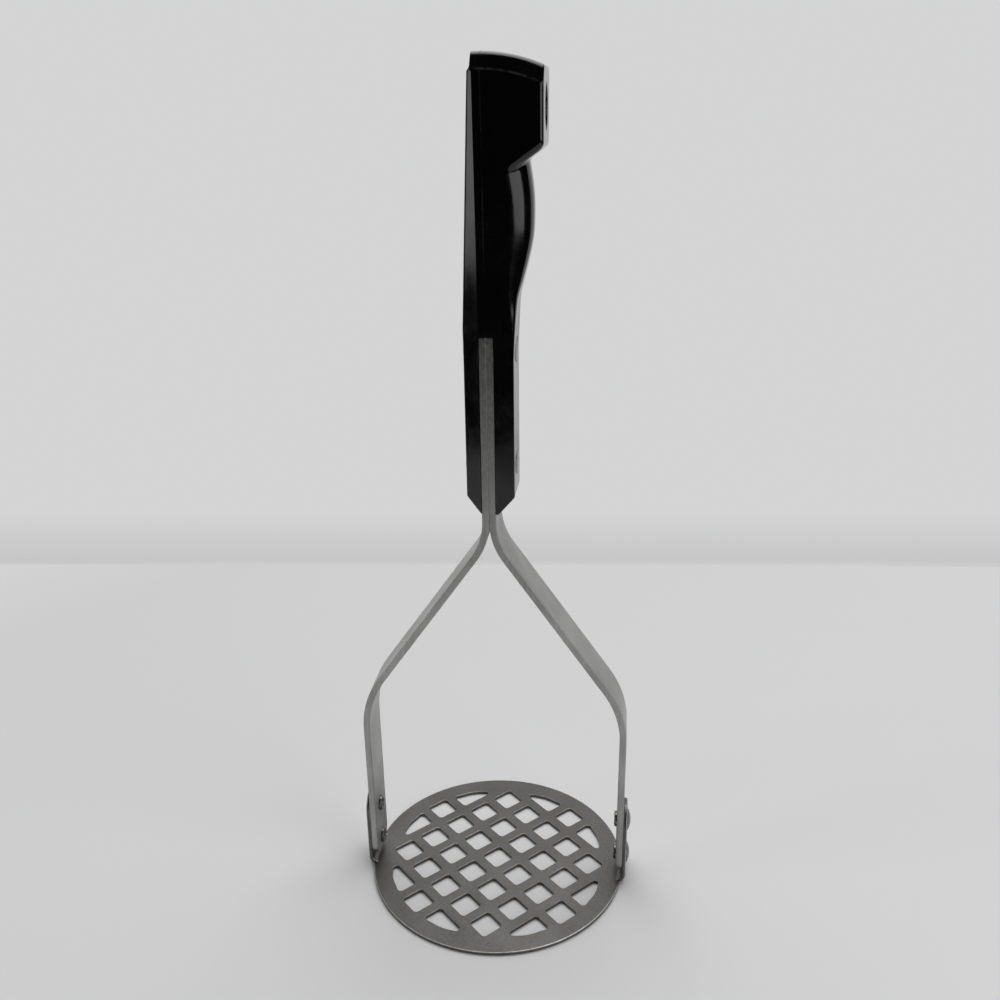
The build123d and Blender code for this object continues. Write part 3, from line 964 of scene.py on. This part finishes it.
    def columns(self) -> np.ndarray:
        """Return where the lines from back to front lie: the back's share, the front's share and an offset.

        They are close together at both edges and at the parting line, which lies at X = 0.
        """
        behind = np.array(self.back_lines)
        near = np.array(self.parting_lines)
        ahead = (1 - np.cos(np.linspace(0, math.pi, self.front_lines + 1)[1:])) / 2
        low, high = near[0], near[-1]
        first = np.stack((1 - behind, 0 * behind, low * behind), axis=1)
        middle = np.stack((0 * near, 0 * near, near), axis=1)
        last = np.stack((0 * ahead, ahead, high * (1 - ahead)), axis=1)
        return np.concatenate((first, middle, last))

    def shares(self) -> np.ndarray:
        """Return where the lines across lie, as shares of half the depth: closer together at the sides."""
        t = np.linspace(-1, 1, 2 * self.half_rows + 1)
        return self.evenness * t + (1 - self.evenness) * np.sin(t * math.pi / 2)

    def lay(self, z: np.ndarray, share: np.ndarray, column: np.ndarray, inset: np.ndarray) -> np.ndarray:
        """Return x and y of points of the outline or of what lies inside it.

        Args:
            z: Height of each point.
            share: Each point's share of half the depth.
            column: Each point's place between back and front, as columns() gives it.
            inset: How far the outline is drawn in.
        """
        half = self.half_depth(z) - inset
        y = half * share
        facet = self.facet_start_x + (half - np.abs(y)) / math.tan(math.radians(self.facet_degrees))
        back = inset - smooth_min(self.back_reach(z), facet, self.back_ease)
        front = self.front_reach(z, y, half) - inset
        return np.stack((column[..., 0] * back + column[..., 1] * front + column[..., 2], y), axis=-1)

    def parting(self, x: np.ndarray) -> np.ndarray:
        """Return the height of the parting line's ridge: a bell about X = 0."""
        return self.parting_height * np.exp(-((x / self.parting_width) ** 2))

    def level(self, end, share: np.ndarray, column: np.ndarray, inset: np.ndarray, base_z: float) -> tuple:
        """Return x, y and the end's height over points whose outline itself depends on that height.

        The height is guessed, the outline laid out at it and the height taken again, three times over.
        """
        z = np.full(np.broadcast(share, inset).shape, base_z)
        for _ in range(3):
            plan = self.lay(z, share, column, inset)
            z = end(plan[..., 0], plan[..., 1])
        return plan[..., 0], plan[..., 1], z

    def rim_rows(self, end, way: int, from_z: float, ring: tuple, rows: int) -> np.ndarray:
        """Return the rows from a level up or down to an end surface, the last ones turning over its edge.

        Args:
            end: The function that gives the end's height.
            way: 1 where the end is above, -1 where it is below.
            from_z: The level that the rows start from.
            ring: Share and column of each point of the outline.
            rows: How many rows lead up to the turned edge.
        """
        radius = self.top_edge_radius if way > 0 else self.bottom_edge_radius
        share, column = ring
        turn = np.linspace(0, math.pi / 2, self.edge_steps)[:, None]
        _, _, edge_z = self.level(end, share, column, np.zeros((1, 1)), from_z)
        climb = np.linspace(0, 1, rows)[:, None] ** self.rim_crowding
        z = from_z + climb * (edge_z - way * radius - from_z)
        plan = self.lay(z, share, column, np.zeros_like(z))
        wall = np.concatenate((plan, z[..., None]), axis=-1)
        inset = radius * (1 - np.cos(turn[1:]))
        x, y, turned_z = self.level(end, share, column, inset, from_z)
        turned_z = turned_z - way * radius * (1 - np.sin(turn[1:]))
        return np.concatenate((wall, np.stack((x, y, turned_z), axis=-1)))

    def body(self) -> bpy.types.Mesh:
        """Return the closed body: a ring of points carried up the handle, and a patch over each end."""
        shares = self.shares()
        columns = self.columns()
        rows, width = len(shares), len(columns)
        last = rows - 1
        order = [(0, c) for c in range(width)] + [(r, width - 1) for r in range(1, last)]
        order += [(last, c) for c in range(width - 1, -1, -1)] + [(r, 0) for r in range(last - 1, 0, -1)]
        row, place = np.array(order).T
        ring = (shares[row][None, :], columns[place][None, :, :])
        low_z, high_z = self.lower_rim_z, self.upper_rim_z
        starts, steps = zip(*self.row_steps)
        levels = [np.arange(*span) for span in zip(starts, (*starts[1:], high_z), steps)]
        z = np.concatenate(levels)[1:, None] + 0 * ring[0]
        plan = self.lay(z, ring[0], ring[1], np.zeros_like(z))
        middle = np.concatenate((plan, z[..., None]), axis=-1)
        lower = self.rim_rows(self.mouth, -1, low_z, ring, self.lower_rim_rows)[::-1]
        upper = self.rim_rows(self.crown, 1, high_z, ring, self.upper_rim_rows)
        points = np.concatenate((lower, middle, upper))
        ridge = self.parting(points[..., 0]) * (points[..., 2] > self.tang_top_z - 1)
        flat = np.abs(ring[0]) > self.side_share
        points[..., 1] += np.sign(points[..., 1]) * ridge * flat
        shell = Shell()
        shell.add(points, grid_faces(len(points), len(order), closed=True))
        for end, base, radius, way in (
            (self.mouth, low_z, self.bottom_edge_radius, -1),
            (self.crown, high_z, self.top_edge_radius, 1),
        ):
            share = np.repeat(shares[:, None], width, axis=1)
            column = np.repeat(columns[None, :, :], rows, axis=0)
            x, y, z = self.level(end, share, column, np.full_like(share, radius), base)
            patch = np.stack((x, y, z), axis=-1)
            if way > 0:
                at_side = np.abs(share) > self.side_share
                patch[..., 2] += self.parting(x) * ~at_side
                patch[..., 1] += np.sign(y) * self.parting(x) * at_side
            shell.add(patch, grid_faces(rows, width))
        return shell.mesh("handle_body")

    def slot_cutter(self) -> bpy.types.Mesh:
        """Return the block that the tangs' slot is cut with."""
        bound = self.grip_half_depth + self.slot_overrun
        x = np.array([-1, 1, 1, -1]) * self.slot_half_width
        y = np.array([-1, -1, 1, 1]) * bound
        heights = np.array([self.bottom_z - self.slot_overrun, self.tang_top_z])
        points = np.stack(
            (np.tile(x, (2, 1)), np.tile(y, (2, 1)), np.repeat(heights[:, None], 4, axis=1)), axis=-1
        )
        shell = Shell()
        shell.add_tube(points)
        return shell.mesh("slot")

    def seat_cutter(self, side: int, z: float) -> bpy.types.Mesh:
        """Return the round plug that a rivet head's seat is cut with, its mouth slightly flared."""
        face = self.back_x if side < 0 else self.front_x
        deep, edge, radius = self.seat_depth, self.seat_flare, self.seat_radius
        turned = edge * self.seat_round_share
        wide = radius + edge * self.seat_spread
        profile = np.array(
            [
                (-deep, 0.0),
                (-deep, radius),
                (-edge, radius),
                (-turned, radius + turned),
                (edge * 2, wide),
                (self.seat_overrun, wide),
                (self.seat_overrun, 0.0),
            ]
        )
        return turned_mesh("seat", profile, self.seat_steps, (side * face, 0, z), side)

    def hole_cutter(self) -> bpy.types.Mesh:
        """Return the oval plug that the hanging hole is cut with.

        It follows the lean of the back, and opens out at both ends like the inside of a ring.
        """
        lip = self.hang_hole_lip
        turn = np.radians(np.linspace(0, self.lip_turn_degrees, self.lip_steps))
        depth = np.concatenate((lip * (1 - np.sin(turn)), [-self.lip_overrun]))
        growth = lip * (1 - np.cos(turn))
        growth = np.append(growth, growth[-1] + math.tan(turn[-1]) * (depth[-2] + self.lip_overrun))
        angle = np.arange(self.hang_hole_steps) * TURN / self.hang_hole_steps
        growth_rows = np.concatenate((growth[::-1], growth))[:, None]
        y = (self.hang_hole_half_depth + growth_rows) * np.cos(angle)
        z = self.hang_hole_z + (self.hang_hole_half_height + growth_rows) * np.sin(angle)
        lean = (self.back_x - self.back_shoulder_x) / (self.back_shoulder_z - self.back_bend_z)
        back = lean * (z[: len(depth)] - self.back_bend_z) - self.back_x + depth[::-1, None]
        front = self.block_x - depth[:, None] + 0 * z[len(depth):]
        points = np.stack((np.concatenate((back, front)), y, z), axis=-1)
        shell = Shell()
        shell.add_tube(points)
        return shell.mesh("hang_hole")

    def build(self, finishes: Finishes) -> None:
        """Make the handle in place of its CAD node."""
        cutters = [self.slot_cutter(), self.hole_cutter()]
        cutters += [self.seat_cutter(side, z) for side in (-1, 1) for z in self.rivet_z]
        mesh = cut_away(self.body(), cutters, SHARP_DEGREES)
        place_piece("moulded_handle", mesh, "handle", Slot.HANDLE, finishes)


@dataclass
class Legs:
    """The two bent flat bars, in millimetres. Each is one profile carried along the bar's middle line."""

    width: float = 14.3
    thickness: float = 2.2
    corner_radius: float = 0.32
    inner_corner_radius: float = 0.22
    beside_shares: tuple = (1.5, 2.1)
    most_corner_share: float = 0.4
    inner_x: float = 42.1
    splay_degrees: float = 35.2
    tang_top_z: float = 192.0
    shoulder_start_z: float = 134.6
    shoulder_radius: float = 20.5
    knee_radius: float = 32.1
    foot_z: float = 3.5
    foot_corner_radius: float = 4.6
    arc_steps: int = 19
    corner_steps: int = 5
    foot_steps: int = 16
    end_ease_steps: int = 4
    cut_depth: float = 0.2
    cut_heights: tuple = (125.0, 152.0, 190.0)
    cut_marks: tuple = (0.14, 0.36, 0.9)
    map_lean: float = 0.35
    map_shift: float = 0.4

    def middle_line(self) -> tuple:
        """Return the bar's middle line and the directions across it: straight runs joined by arcs.

        Returns:
            Points as rows of x and z, the bar's lean at each in radians, and the distance along.
        """
        splay = math.radians(self.splay_degrees)
        half = self.thickness / 2
        shoulder_z = self.shoulder_start_z - (self.shoulder_radius + half) * math.tan(splay / 2)
        knee_z = shoulder_z - self.inner_x / math.tan(splay)
        outer_x = self.inner_x + half
        corners = (
            (half, shoulder_z, self.shoulder_radius + half),
            (outer_x, knee_z, self.knee_radius + half),
        )
        angles = ((0.0, splay), (splay, 0.0))
        places = [np.array([(half, self.tang_top_z)])]
        headings = [np.zeros(1)]
        for (x, z, radius), (start, end) in zip(corners, angles):
            turn = np.linspace(start, end, self.arc_steps)
            tangent = radius * math.tan(splay / 2)
            start_x, start_z = x - tangent * math.sin(start), z + tangent * math.cos(start)
            way = 1 if end > start else -1
            arc_x = start_x + way * radius * (np.cos(start) - np.cos(turn))
            arc_z = start_z - way * radius * (np.sin(turn) - np.sin(start))
            places.append(np.stack((arc_x, arc_z), axis=1))
            headings.append(turn)
        places.append(np.array([(outer_x, self.foot_z)]))
        headings.append(np.zeros(1))
        line = np.concatenate(places)
        heading = np.concatenate(headings)
        steps = np.hypot(*np.diff(line, axis=0).T)
        return line, heading, np.concatenate(([0.0], np.cumsum(steps)))

    def quarter(self, half_width: float, half_thickness: float, radius: float) -> np.ndarray:
        """Return a quarter of the bar's section: an arc at the corner, and a point on each flat beside it."""
        turn = np.linspace(0, TURN / 4, self.corner_steps)
        corner_t = half_thickness - radius + radius * np.sin(turn)
        corner_w = half_width - radius + radius * np.cos(turn)
        corner = np.stack((corner_t, corner_w), axis=1)
        before = [(half_thickness - radius * self.beside_shares[0], half_width)]
        after = [(half_thickness, half_width - radius * self.beside_shares[1])]
        return np.concatenate((before, corner, after))

    def profile(self, half_width: float, half_thickness: float) -> np.ndarray:
        """Return the bar's rounded section, as rows of distance out of the face and along the width."""
        outer_radius = min(self.corner_radius, half_thickness * self.most_corner_share)
        outer = self.quarter(half_width, half_thickness, outer_radius)
        inner = self.quarter(half_width, half_thickness, self.inner_corner_radius)
        return np.concatenate((outer, outer[::-1] * (1, -1), inner * (-1, -1), inner[::-1] * (-1, 1)))

    def rows(self) -> np.ndarray:
        """Return the rows along the bar: distance, half width and half thickness at each.

        Both ends are eased by a small round, and the width falls on an arc at each corner of the foot.
        """
        line, _, distance = self.middle_line()
        length = distance[-1]
        ease = self.corner_radius
        turn = np.linspace(0, TURN / 4, self.end_ease_steps)
        end = ease * (1 - np.sin(turn))
        foot = self.foot_corner_radius * (1 - np.cos(np.linspace(0, TURN / 4, self.foot_steps)))
        run = distance[(distance > 4) & (distance < length - self.foot_corner_radius - 0.5)]
        marks = np.concatenate((end[::-1], [1.0], run, length - foot[::-1], length - end))
        marks = np.unique(np.round(marks, 4))
        near_end = np.minimum(marks, length - marks)
        drawn_in = round_drop(near_end, ease)
        narrowed = round_drop(length - marks, self.foot_corner_radius)
        half_width = self.width / 2 - np.maximum(narrowed, drawn_in)
        half_thickness = self.thickness / 2 - drawn_in
        return np.stack((marks, half_width, half_thickness), axis=1)

    def mesh(self, name: str, side: int) -> bpy.types.Mesh:
        """Return one bar, with a map of distance along it and round its section."""
        line, heading, distance = self.middle_line()
        rows = self.rows()
        marks = rows[:, 0]
        x = np.interp(marks, distance, line[:, 0])
        z = np.interp(marks, distance, line[:, 1])
        lean = np.interp(marks, distance, heading)
        sections = np.stack([self.profile(*halves) for _, *halves in rows])
        out = sections[..., 0]
        points = np.stack(
            (
                side * (x[:, None] + out * np.cos(lean)[:, None]),
                sections[..., 1],
                z[:, None] + out * np.sin(lean)[:, None],
            ),
            axis=-1,
        )
        shell = Shell()
        shell.add_tube(points)
        mesh = shell.mesh(name)
        self.map_along(mesh, line, distance, side)
        places = mesh_places(mesh)
        cut = np.abs(places[:, 1]) > self.width / 2 - self.cut_depth
        mark_edges(mesh, cut * np.interp(places[:, 2], self.cut_heights, self.cut_marks))
        return mesh

    def map_along(self, mesh: bpy.types.Mesh, line: np.ndarray, distance: np.ndarray, side: int) -> None:
        """Give a bar its map: u is the distance along the bar and v the width, both in metres.

        The distance follows from the height alone, because the bar never turns back on itself.
        """
        places = mesh_places(mesh)
        along = np.interp(places[:, 2], line[::-1, 1], distance[::-1]) * MM
        across = (places[:, 1] + places[:, 0] * side * self.map_lean) * MM + side * self.map_shift
        corners = np.zeros(len(mesh.loops), dtype=np.int32)
        mesh.loops.foreach_get("vertex_index", corners)
        layer = mesh.uv_layers.new(name="along_bar")
        layer.data.foreach_set("uv", np.stack((along, across), axis=1)[corners].ravel())

    def build(self, finishes: Finishes) -> None:
        """Make both bars in place of their CAD nodes."""
        for name, side in (("left", -1), ("right", 1)):
            mesh = self.mesh(f"{name}_bar", side)
            place_piece(f"{name}_bar", mesh, f"{name}_leg", Slot.LEG, finishes)


@dataclass
class MashingPlate:
    """The stamped disc and its ears, in millimetres: a flat blank with broken edges, its ears bent up."""

    radius: float = 44.4
    thickness: float = 1.3
    rim_break: float = 0.36
    hole_break: float = 0.2
    hole_wear_and_highlight: float = 0.4
    pitch: float = 11.45
    hole_side: float = 7.95
    hole_corner_radius: float = 1.2
    field_radius: float = 38.5
    full_reach: int = 9
    cut_reach: int = 10
    ear_width: float = 14.3
    ear_bend_x: float = 42.3
    ear_bend_radius: float = 3.3
    ear_slit: float = 0.12
    rivet_z: tuple = (7.6, 21.7)
    rivet_hole_radius: float = 2.1
    rivet_hole_steps: int = 24
    break_share: float = 0.3
    face_margin: float = 0.02
    field_arc_steps: int = 9
    field_inset: float = 0.35
    most_bulge: float = 0.9
    disc_steps: int = 121
    ear_top_steps: int = 33
    ear_side_steps: int = 12
    bend_cuts: int = 10
    bend_cut_reach: float = 1e-8
    sharp_degrees: float = 18.0

    @staticmethod
    def rounded(corners: np.ndarray, radius: float, steps: int = 5) -> np.ndarray:
        """Return a closed outline whose corners are rounded by arcs.

        At each corner the arc's centre lies on the bisector, and its distance from the corner is the radius
        over the sine of half the angle.

        Args:
            corners: The outline's corners, in order.
            radius: Radius of the rounds.
            steps: Number of pieces in each arc.
        """
        before = np.roll(corners, 1, axis=0) - corners
        after = np.roll(corners, -1, axis=0) - corners
        before /= np.linalg.norm(before, axis=1)[:, None]
        after /= np.linalg.norm(after, axis=1)[:, None]
        middle = before + after
        middle /= np.linalg.norm(middle, axis=1)[:, None]
        sine = np.abs(before[:, 0] * middle[:, 1] - before[:, 1] * middle[:, 0])
        cosine = (before * middle).sum(axis=1)
        centre = corners + middle * (radius / sine)[:, None]
        start = corners + before * (radius * cosine / sine)[:, None] - centre
        end = corners + after * (radius * cosine / sine)[:, None] - centre
        share = np.linspace(0, 1, steps + 1)[None, :, None]
        sweep = np.arccos(np.clip((start * end).sum(axis=1) / radius**2, -1, 1))[:, None, None]
        leaving = start[:, None] * np.sin((1 - share) * sweep)
        arriving = end[:, None] * np.sin(share * sweep)
        return (centre[:, None] + (leaving + arriving) / np.sin(sweep)).reshape(-1, 2)

    def holes(self) -> list:
        """Return the outlines of the 37 holes: whole squares, and at the edge squares that the field cuts."""
        half = self.hole_side / 2
        square = np.array([(-1, -1), (1, -1), (1, 1), (-1, 1)]) * half
        whole = self.rounded(square, self.hole_corner_radius)
        outlines = []
        reach = math.isqrt(self.full_reach)
        for i in range(-reach, reach + 1):
            for j in range(-reach, reach + 1):
                if i * i + j * j <= self.full_reach:
                    outlines.append(whole + np.array((i, j)) * self.pitch)
                elif i * i + j * j == self.cut_reach:
                    near = np.array((abs(i), abs(j))) * self.pitch - half
                    limit = np.sqrt(self.field_radius**2 - near**2)
                    start = math.atan2(near[1], limit[1])
                    end = math.atan2(limit[0], near[0])
                    turn = np.linspace(start, end, self.field_arc_steps)
                    arc = np.stack((np.cos(turn), np.sin(turn)), axis=1) * self.field_radius
                    outline = self.softened(np.concatenate(([near], arc)))
                    outlines.append(outline * (math.copysign(1, i), math.copysign(1, j)))
        cos, sin = math.cos(TURN / 8), math.sin(TURN / 8)
        return [outline @ np.array([(cos, sin), (-sin, cos)]) for outline in outlines]

    def softened(self, corners: np.ndarray) -> np.ndarray:
        """Return a cut hole's outline: its three corners rounded, and the side between the last two bowed."""
        return self.along_field(self.rounded(corners[[0, 1, -1]], self.hole_corner_radius))

    def along_field(self, outline: np.ndarray) -> np.ndarray:
        """Return an outline whose chord is pushed out to the field's circle.

        Each point between the second corner's end and the last corner's start moves out by the chord's rise.
        """
        steps = len(outline) // 3
        low, high = outline[2 * steps - 1], outline[2 * steps]
        share = np.linspace(0, 1, self.field_arc_steps)[1:-1, None]
        run = low + (high - low) * share
        rise = self.field_radius - self.field_inset - np.linalg.norm(run, axis=1)
        bulge = 4 * share[:, 0] * (1 - share[:, 0]) * np.clip(rise, 0, self.most_bulge)
        run = run + run / np.linalg.norm(run, axis=1)[:, None] * bulge[:, None]
        return np.concatenate((outline[: 2 * steps], run, outline[2 * steps:]))

    def blank_outline(self) -> np.ndarray:
        """Return the outline of the blank: the disc's arcs, and the ears flat with their round tops."""
        half = self.ear_width / 2
        slit = half + self.ear_slit
        bend_length = self.ear_bend_radius_middle() * TURN / 4
        straight = self.rivet_z[1] - self.ear_bend_radius
        top_x = self.ear_bend_x + bend_length + straight
        edge = math.asin(slit / self.radius)
        turn = np.linspace(edge, math.pi - edge, self.disc_steps)
        upper = np.stack((np.cos(turn), np.sin(turn)), axis=1) * self.radius
        arc = np.linspace(-math.pi / 2, math.pi / 2, self.ear_top_steps)
        runs = np.linspace(self.ear_bend_x, top_x, self.ear_side_steps)[:-1]
        low_run = np.stack((runs, 0 * runs - half), axis=1)
        cap = np.stack((top_x + half * np.cos(arc), half * np.sin(arc)), axis=1)
        right = np.concatenate(([(self.ear_bend_x, -slit)], low_run, cap, low_run[::-1] * (1, -1)))
        right = np.concatenate((right, [(self.ear_bend_x, slit)]))
        return np.concatenate((right, upper, -right, -upper))

    def ear_bend_radius_middle(self) -> float:
        """Return the radius of the ears' bend at the middle of the sheet."""
        return self.ear_bend_radius - self.thickness / 2

    def rivet_holes(self) -> list:
        """Return the outlines of the ears' rivet holes in the flat blank."""
        turn = np.arange(self.rivet_hole_steps) * TURN / self.rivet_hole_steps
        circle = np.stack((np.cos(turn), np.sin(turn)), axis=1) * self.rivet_hole_radius
        flat = self.ear_bend_x + self.ear_bend_radius_middle() * TURN / 4 - self.ear_bend_radius
        return [circle + (side * (flat + z), 0) for side in (-1, 1) for z in self.rivet_z]

    @staticmethod
    def inward(outline: np.ndarray) -> np.ndarray:
        """Return the unit direction into the material's outline at each point, to the left of its path."""
        path = np.roll(outline, -1, axis=0) - np.roll(outline, 1, axis=0)
        path /= np.linalg.norm(path, axis=1)[:, None]
        return np.stack((-path[:, 1], path[:, 0]), axis=1)

    @staticmethod
    def area(outline: np.ndarray) -> float:
        """Return an outline's area, positive where it runs anticlockwise."""
        x, y = outline.T
        return float((x * np.roll(y, -1) - y * np.roll(x, -1)).sum() / 2)

    def flat_shell(self) -> Shell:
        """Return the flat blank: a wall with broken edges round each outline, and both faces filled."""
        outlines = [self.blank_outline(), *self.holes(), *self.rivet_holes()]
        breaks = [self.rim_break] + [self.hole_break] * (len(outlines) - 1)
        shell = Shell()
        faces_at = {0.0: [], self.thickness: []}
        for number, (outline, size) in enumerate(zip(outlines, breaks)):
            if (self.area(outline) > 0) != (number == 0):
                outline = outline[::-1]
            way = self.inward(outline)
            soft = self.break_share * size
            steps = (
                (0.0, size),
                (soft, soft),
                (size, 0.0),
                (self.thickness - size, 0.0),
                (self.thickness - soft, soft),
                (self.thickness, size),
            )
            level = np.ones(len(outline))
            rings = [np.column_stack((outline + way * inset, level * z)) for z, inset in steps]
            shell.add(np.stack(rings), grid_faces(len(steps), len(outline), closed=True))
            faces_at[0.0].append(rings[0])
            faces_at[self.thickness].append(rings[-1])
        for loops in faces_at.values():
            vectors = [[Vector(point) for point in loop] for loop in loops]
            shell.add(np.concatenate(loops), tessellate_polygon(vectors))
        return shell

    def bent(self, places: np.ndarray) -> np.ndarray:
        """Return points after the ears are bent up.

        Beyond the bend's start, the distance out becomes an angle up to a quarter turn, and then a height.
        """
        out = np.abs(places[:, 0]) - self.ear_bend_x
        middle = self.ear_bend_radius_middle()
        angle = np.clip(out / middle, 0, math.pi / 2)
        beyond = np.clip(out - middle * math.pi / 2, 0, None)
        reach = self.ear_bend_radius - places[:, 2]
        x = self.ear_bend_x + reach * np.sin(angle)
        z = self.ear_bend_radius - reach * np.cos(angle) + beyond
        ear = (out > 0) & (np.abs(places[:, 1]) < self.ear_width / 2 + self.ear_slit / 2)
        result = places.copy()
        result[ear, 0] = (np.sign(places[:, 0]) * x)[ear]
        result[ear, 2] = z[ear]
        return result

    def build(self, finishes: Finishes) -> None:
        """Make the plate in place of its CAD node: the blank, cut across along each bend, then bent."""
        mesh = self.flat_shell().mesh("blank")
        solid = bmesh.new()
        solid.from_mesh(mesh)
        length = self.ear_bend_radius_middle() * TURN / 4
        for side in (-1, 1):
            for x in self.ear_bend_x + np.linspace(0, length, self.bend_cuts):
                geometry = solid.verts[:] + solid.edges[:] + solid.faces[:]
                place = (side * x * MM, 0, 0)
                bmesh.ops.bisect_plane(
                    solid, geom=geometry, dist=self.bend_cut_reach, plane_co=place, plane_no=(1, 0, 0)
                )
        solid.to_mesh(mesh)
        solid.free()
        places = mesh_places(mesh)
        inner = np.minimum(places[:, 2], self.thickness - places[:, 2])
        rim_line = self.break_share * self.rim_break
        hole_line = self.break_share * self.hole_break
        broken = (inner > self.face_margin) & (inner < rim_line + self.face_margin)
        at_rim = inner > (rim_line + hole_line) / 2
        # Rim and hole edges are marked for the light edge colour: partly wear, partly a painted highlight.
        mark_edges(mesh, broken * np.where(at_rim, 1.0, self.hole_wear_and_highlight))
        mesh.vertices.foreach_set("co", (self.bent(places) * MM).ravel())
        mesh.update()
        mesh.shade_smooth()
        mesh.set_sharp_from_angle(angle=math.radians(self.sharp_degrees))
        place_piece("stamped_plate", mesh, "masher_plate", Slot.PLATE, finishes)


@dataclass
class PlateRivets:
    """The four semi-tubular rivets, in millimetres. X runs out of the head, with 0 at the ear's face."""

    ear_outer_x: float = 45.6
    grip: float = 3.5
    heights: tuple = (("lower", 7.6), ("upper", 21.7))
    shank_radius: float = 2.0
    head_radius: float = 3.65
    head_height: float = 1.25
    head_edge: float = 0.25
    roll_radius: float = 2.65
    roll_height: float = 0.95
    bore_radius: float = 1.1
    bore_depth: float = 2.4
    bore_point: float = 0.3
    roll_reach: float = 0.45
    roll_steps: int = 9
    head_steps: int = 14
    head_round_share: float = 0.985
    skirt_height: float = 0.2
    steps: int = 56

    def profile(self) -> np.ndarray:
        """Return the profile from the head's crown to the bottom of the bore.

        The head is part of a ball, with a small round at its edge, and the rolled end is part of a ring.
        """
        rise = self.head_height - self.head_edge
        ball = (self.head_radius**2 + rise**2) / (2 * rise)
        share = np.sin(np.linspace(0, TURN / 4, self.head_steps)[:-1])
        radius = self.head_radius * share * self.head_round_share
        dome_x = self.head_edge + rise - ball + np.sqrt(ball**2 - radius**2)
        dome = np.stack((dome_x, radius), axis=1)
        skirt = [(self.skirt_height, self.head_radius), (0.0, self.head_radius), (0.0, self.shank_radius)]
        end = -self.grip - self.roll_height
        roll_half = (self.roll_radius - self.bore_radius) / 2
        turn = np.linspace(0, math.pi, self.roll_steps)
        roll_x = end + self.roll_reach * (1 - np.sin(turn))
        roll_radius = self.bore_radius + roll_half + roll_half * np.cos(turn)
        roll = np.stack((roll_x, roll_radius), axis=1)
        inner = np.array([(-self.grip, self.shank_radius), (-self.grip, self.roll_radius)])
        floor_x = end + self.bore_depth
        bore = np.array([(floor_x, self.bore_radius), (floor_x + self.bore_point, 0.0)])
        return np.concatenate((dome, skirt, inner, roll, bore))

    def build(self, finishes: Finishes) -> None:
        """Make the rivets in place of their CAD nodes."""
        for side_name, side in (("left", -1), ("right", 1)):
            for height_name, z in self.heights:
                name = f"{side_name}_{height_name}_plate_rivet"
                place = (side * self.ear_outer_x, 0, z)
                mesh = turned_mesh(name, self.profile(), self.steps, place, side)
                place_piece(f"{name}_turned", mesh, name, Slot.RIVET, finishes)


@dataclass
class HandleRivets:
    """The handle's two-piece rivets, in millimetres: a sleeve set in from the back, a pin from the front."""

    back_x: float = 7.1
    front_x: float = 8.0
    seat_depth: float = 0.9
    head_radius: float = 3.55
    head_edge: float = 1.0
    head_crown: float = 0.3
    head_round: float = 0.16
    head_steps: int = 10
    sleeve_radius: float = 2.4
    pin_radius: float = 1.6
    end_gap: float = 0.6
    bore_clearance: float = 0.02
    heights: tuple = (("lower", 152.3), ("upper", 187.2))
    steps: int = 72

    def head(self) -> np.ndarray:
        """Return the head's profile from its crown to its edge: a low ball and a small round at the rim."""
        ball = (self.head_radius**2 + self.head_crown**2) / (2 * self.head_crown)
        radius = np.linspace(0, self.head_radius - self.head_round, self.head_steps)
        dome_x = self.head_edge + self.head_crown - ball + np.sqrt(ball**2 - radius**2)
        dome = np.stack((dome_x, radius), axis=1)
        turn = np.linspace(0, TURN / 4, 4)[1:]
        rim_x = dome_x[-1] - self.head_round * (1 - np.cos(turn))
        rim = np.stack((rim_x, self.head_radius - self.head_round * (1 - np.sin(turn))), axis=1)
        return np.concatenate((dome, rim, [(0.0, self.head_radius)]))

    def build(self, finishes: Finishes) -> None:
        """Make sleeves and pins in place of their CAD nodes."""
        length = self.back_x + self.front_x - 2 * self.seat_depth - self.end_gap
        inner, outer = self.pin_radius + self.bore_clearance, self.sleeve_radius
        tube = np.array([(0.0, outer), (-length, outer), (-length, inner), (0.0, inner), (0.0, 0.0)])
        shank = np.array([(0.0, self.pin_radius), (-length, self.pin_radius), (-length, 0.0)])
        for height_name, z in self.heights:
            for kind, tail, side, face in (
                ("sleeve", tube, -1, self.back_x),
                ("pin", shank, 1, self.front_x),
            ):
                name = f"{height_name}_handle_rivet_{kind}"
                profile = np.concatenate((self.head(), tail))
                place = (side * (face - self.seat_depth), 0, z)
                mesh = turned_mesh(name, profile, self.steps, place, side)
                place_piece(f"{name}_turned", mesh, name, Slot.RIVET, finishes)


def main() -> None:
    """Build the scene in order and report each piece."""
    logging.basicConfig(level=logging.INFO)
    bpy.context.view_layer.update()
    Viewpoint().build()
    Studio().build()
    finishes = Finishes()
    for assembly in (Handle(), Legs(), MashingPlate(), PlateRivets(), HandleRivets()):
        assembly.build(finishes)
        LOG.info("built %s", type(assembly).__name__)


if __name__ == "__main__":
    main()
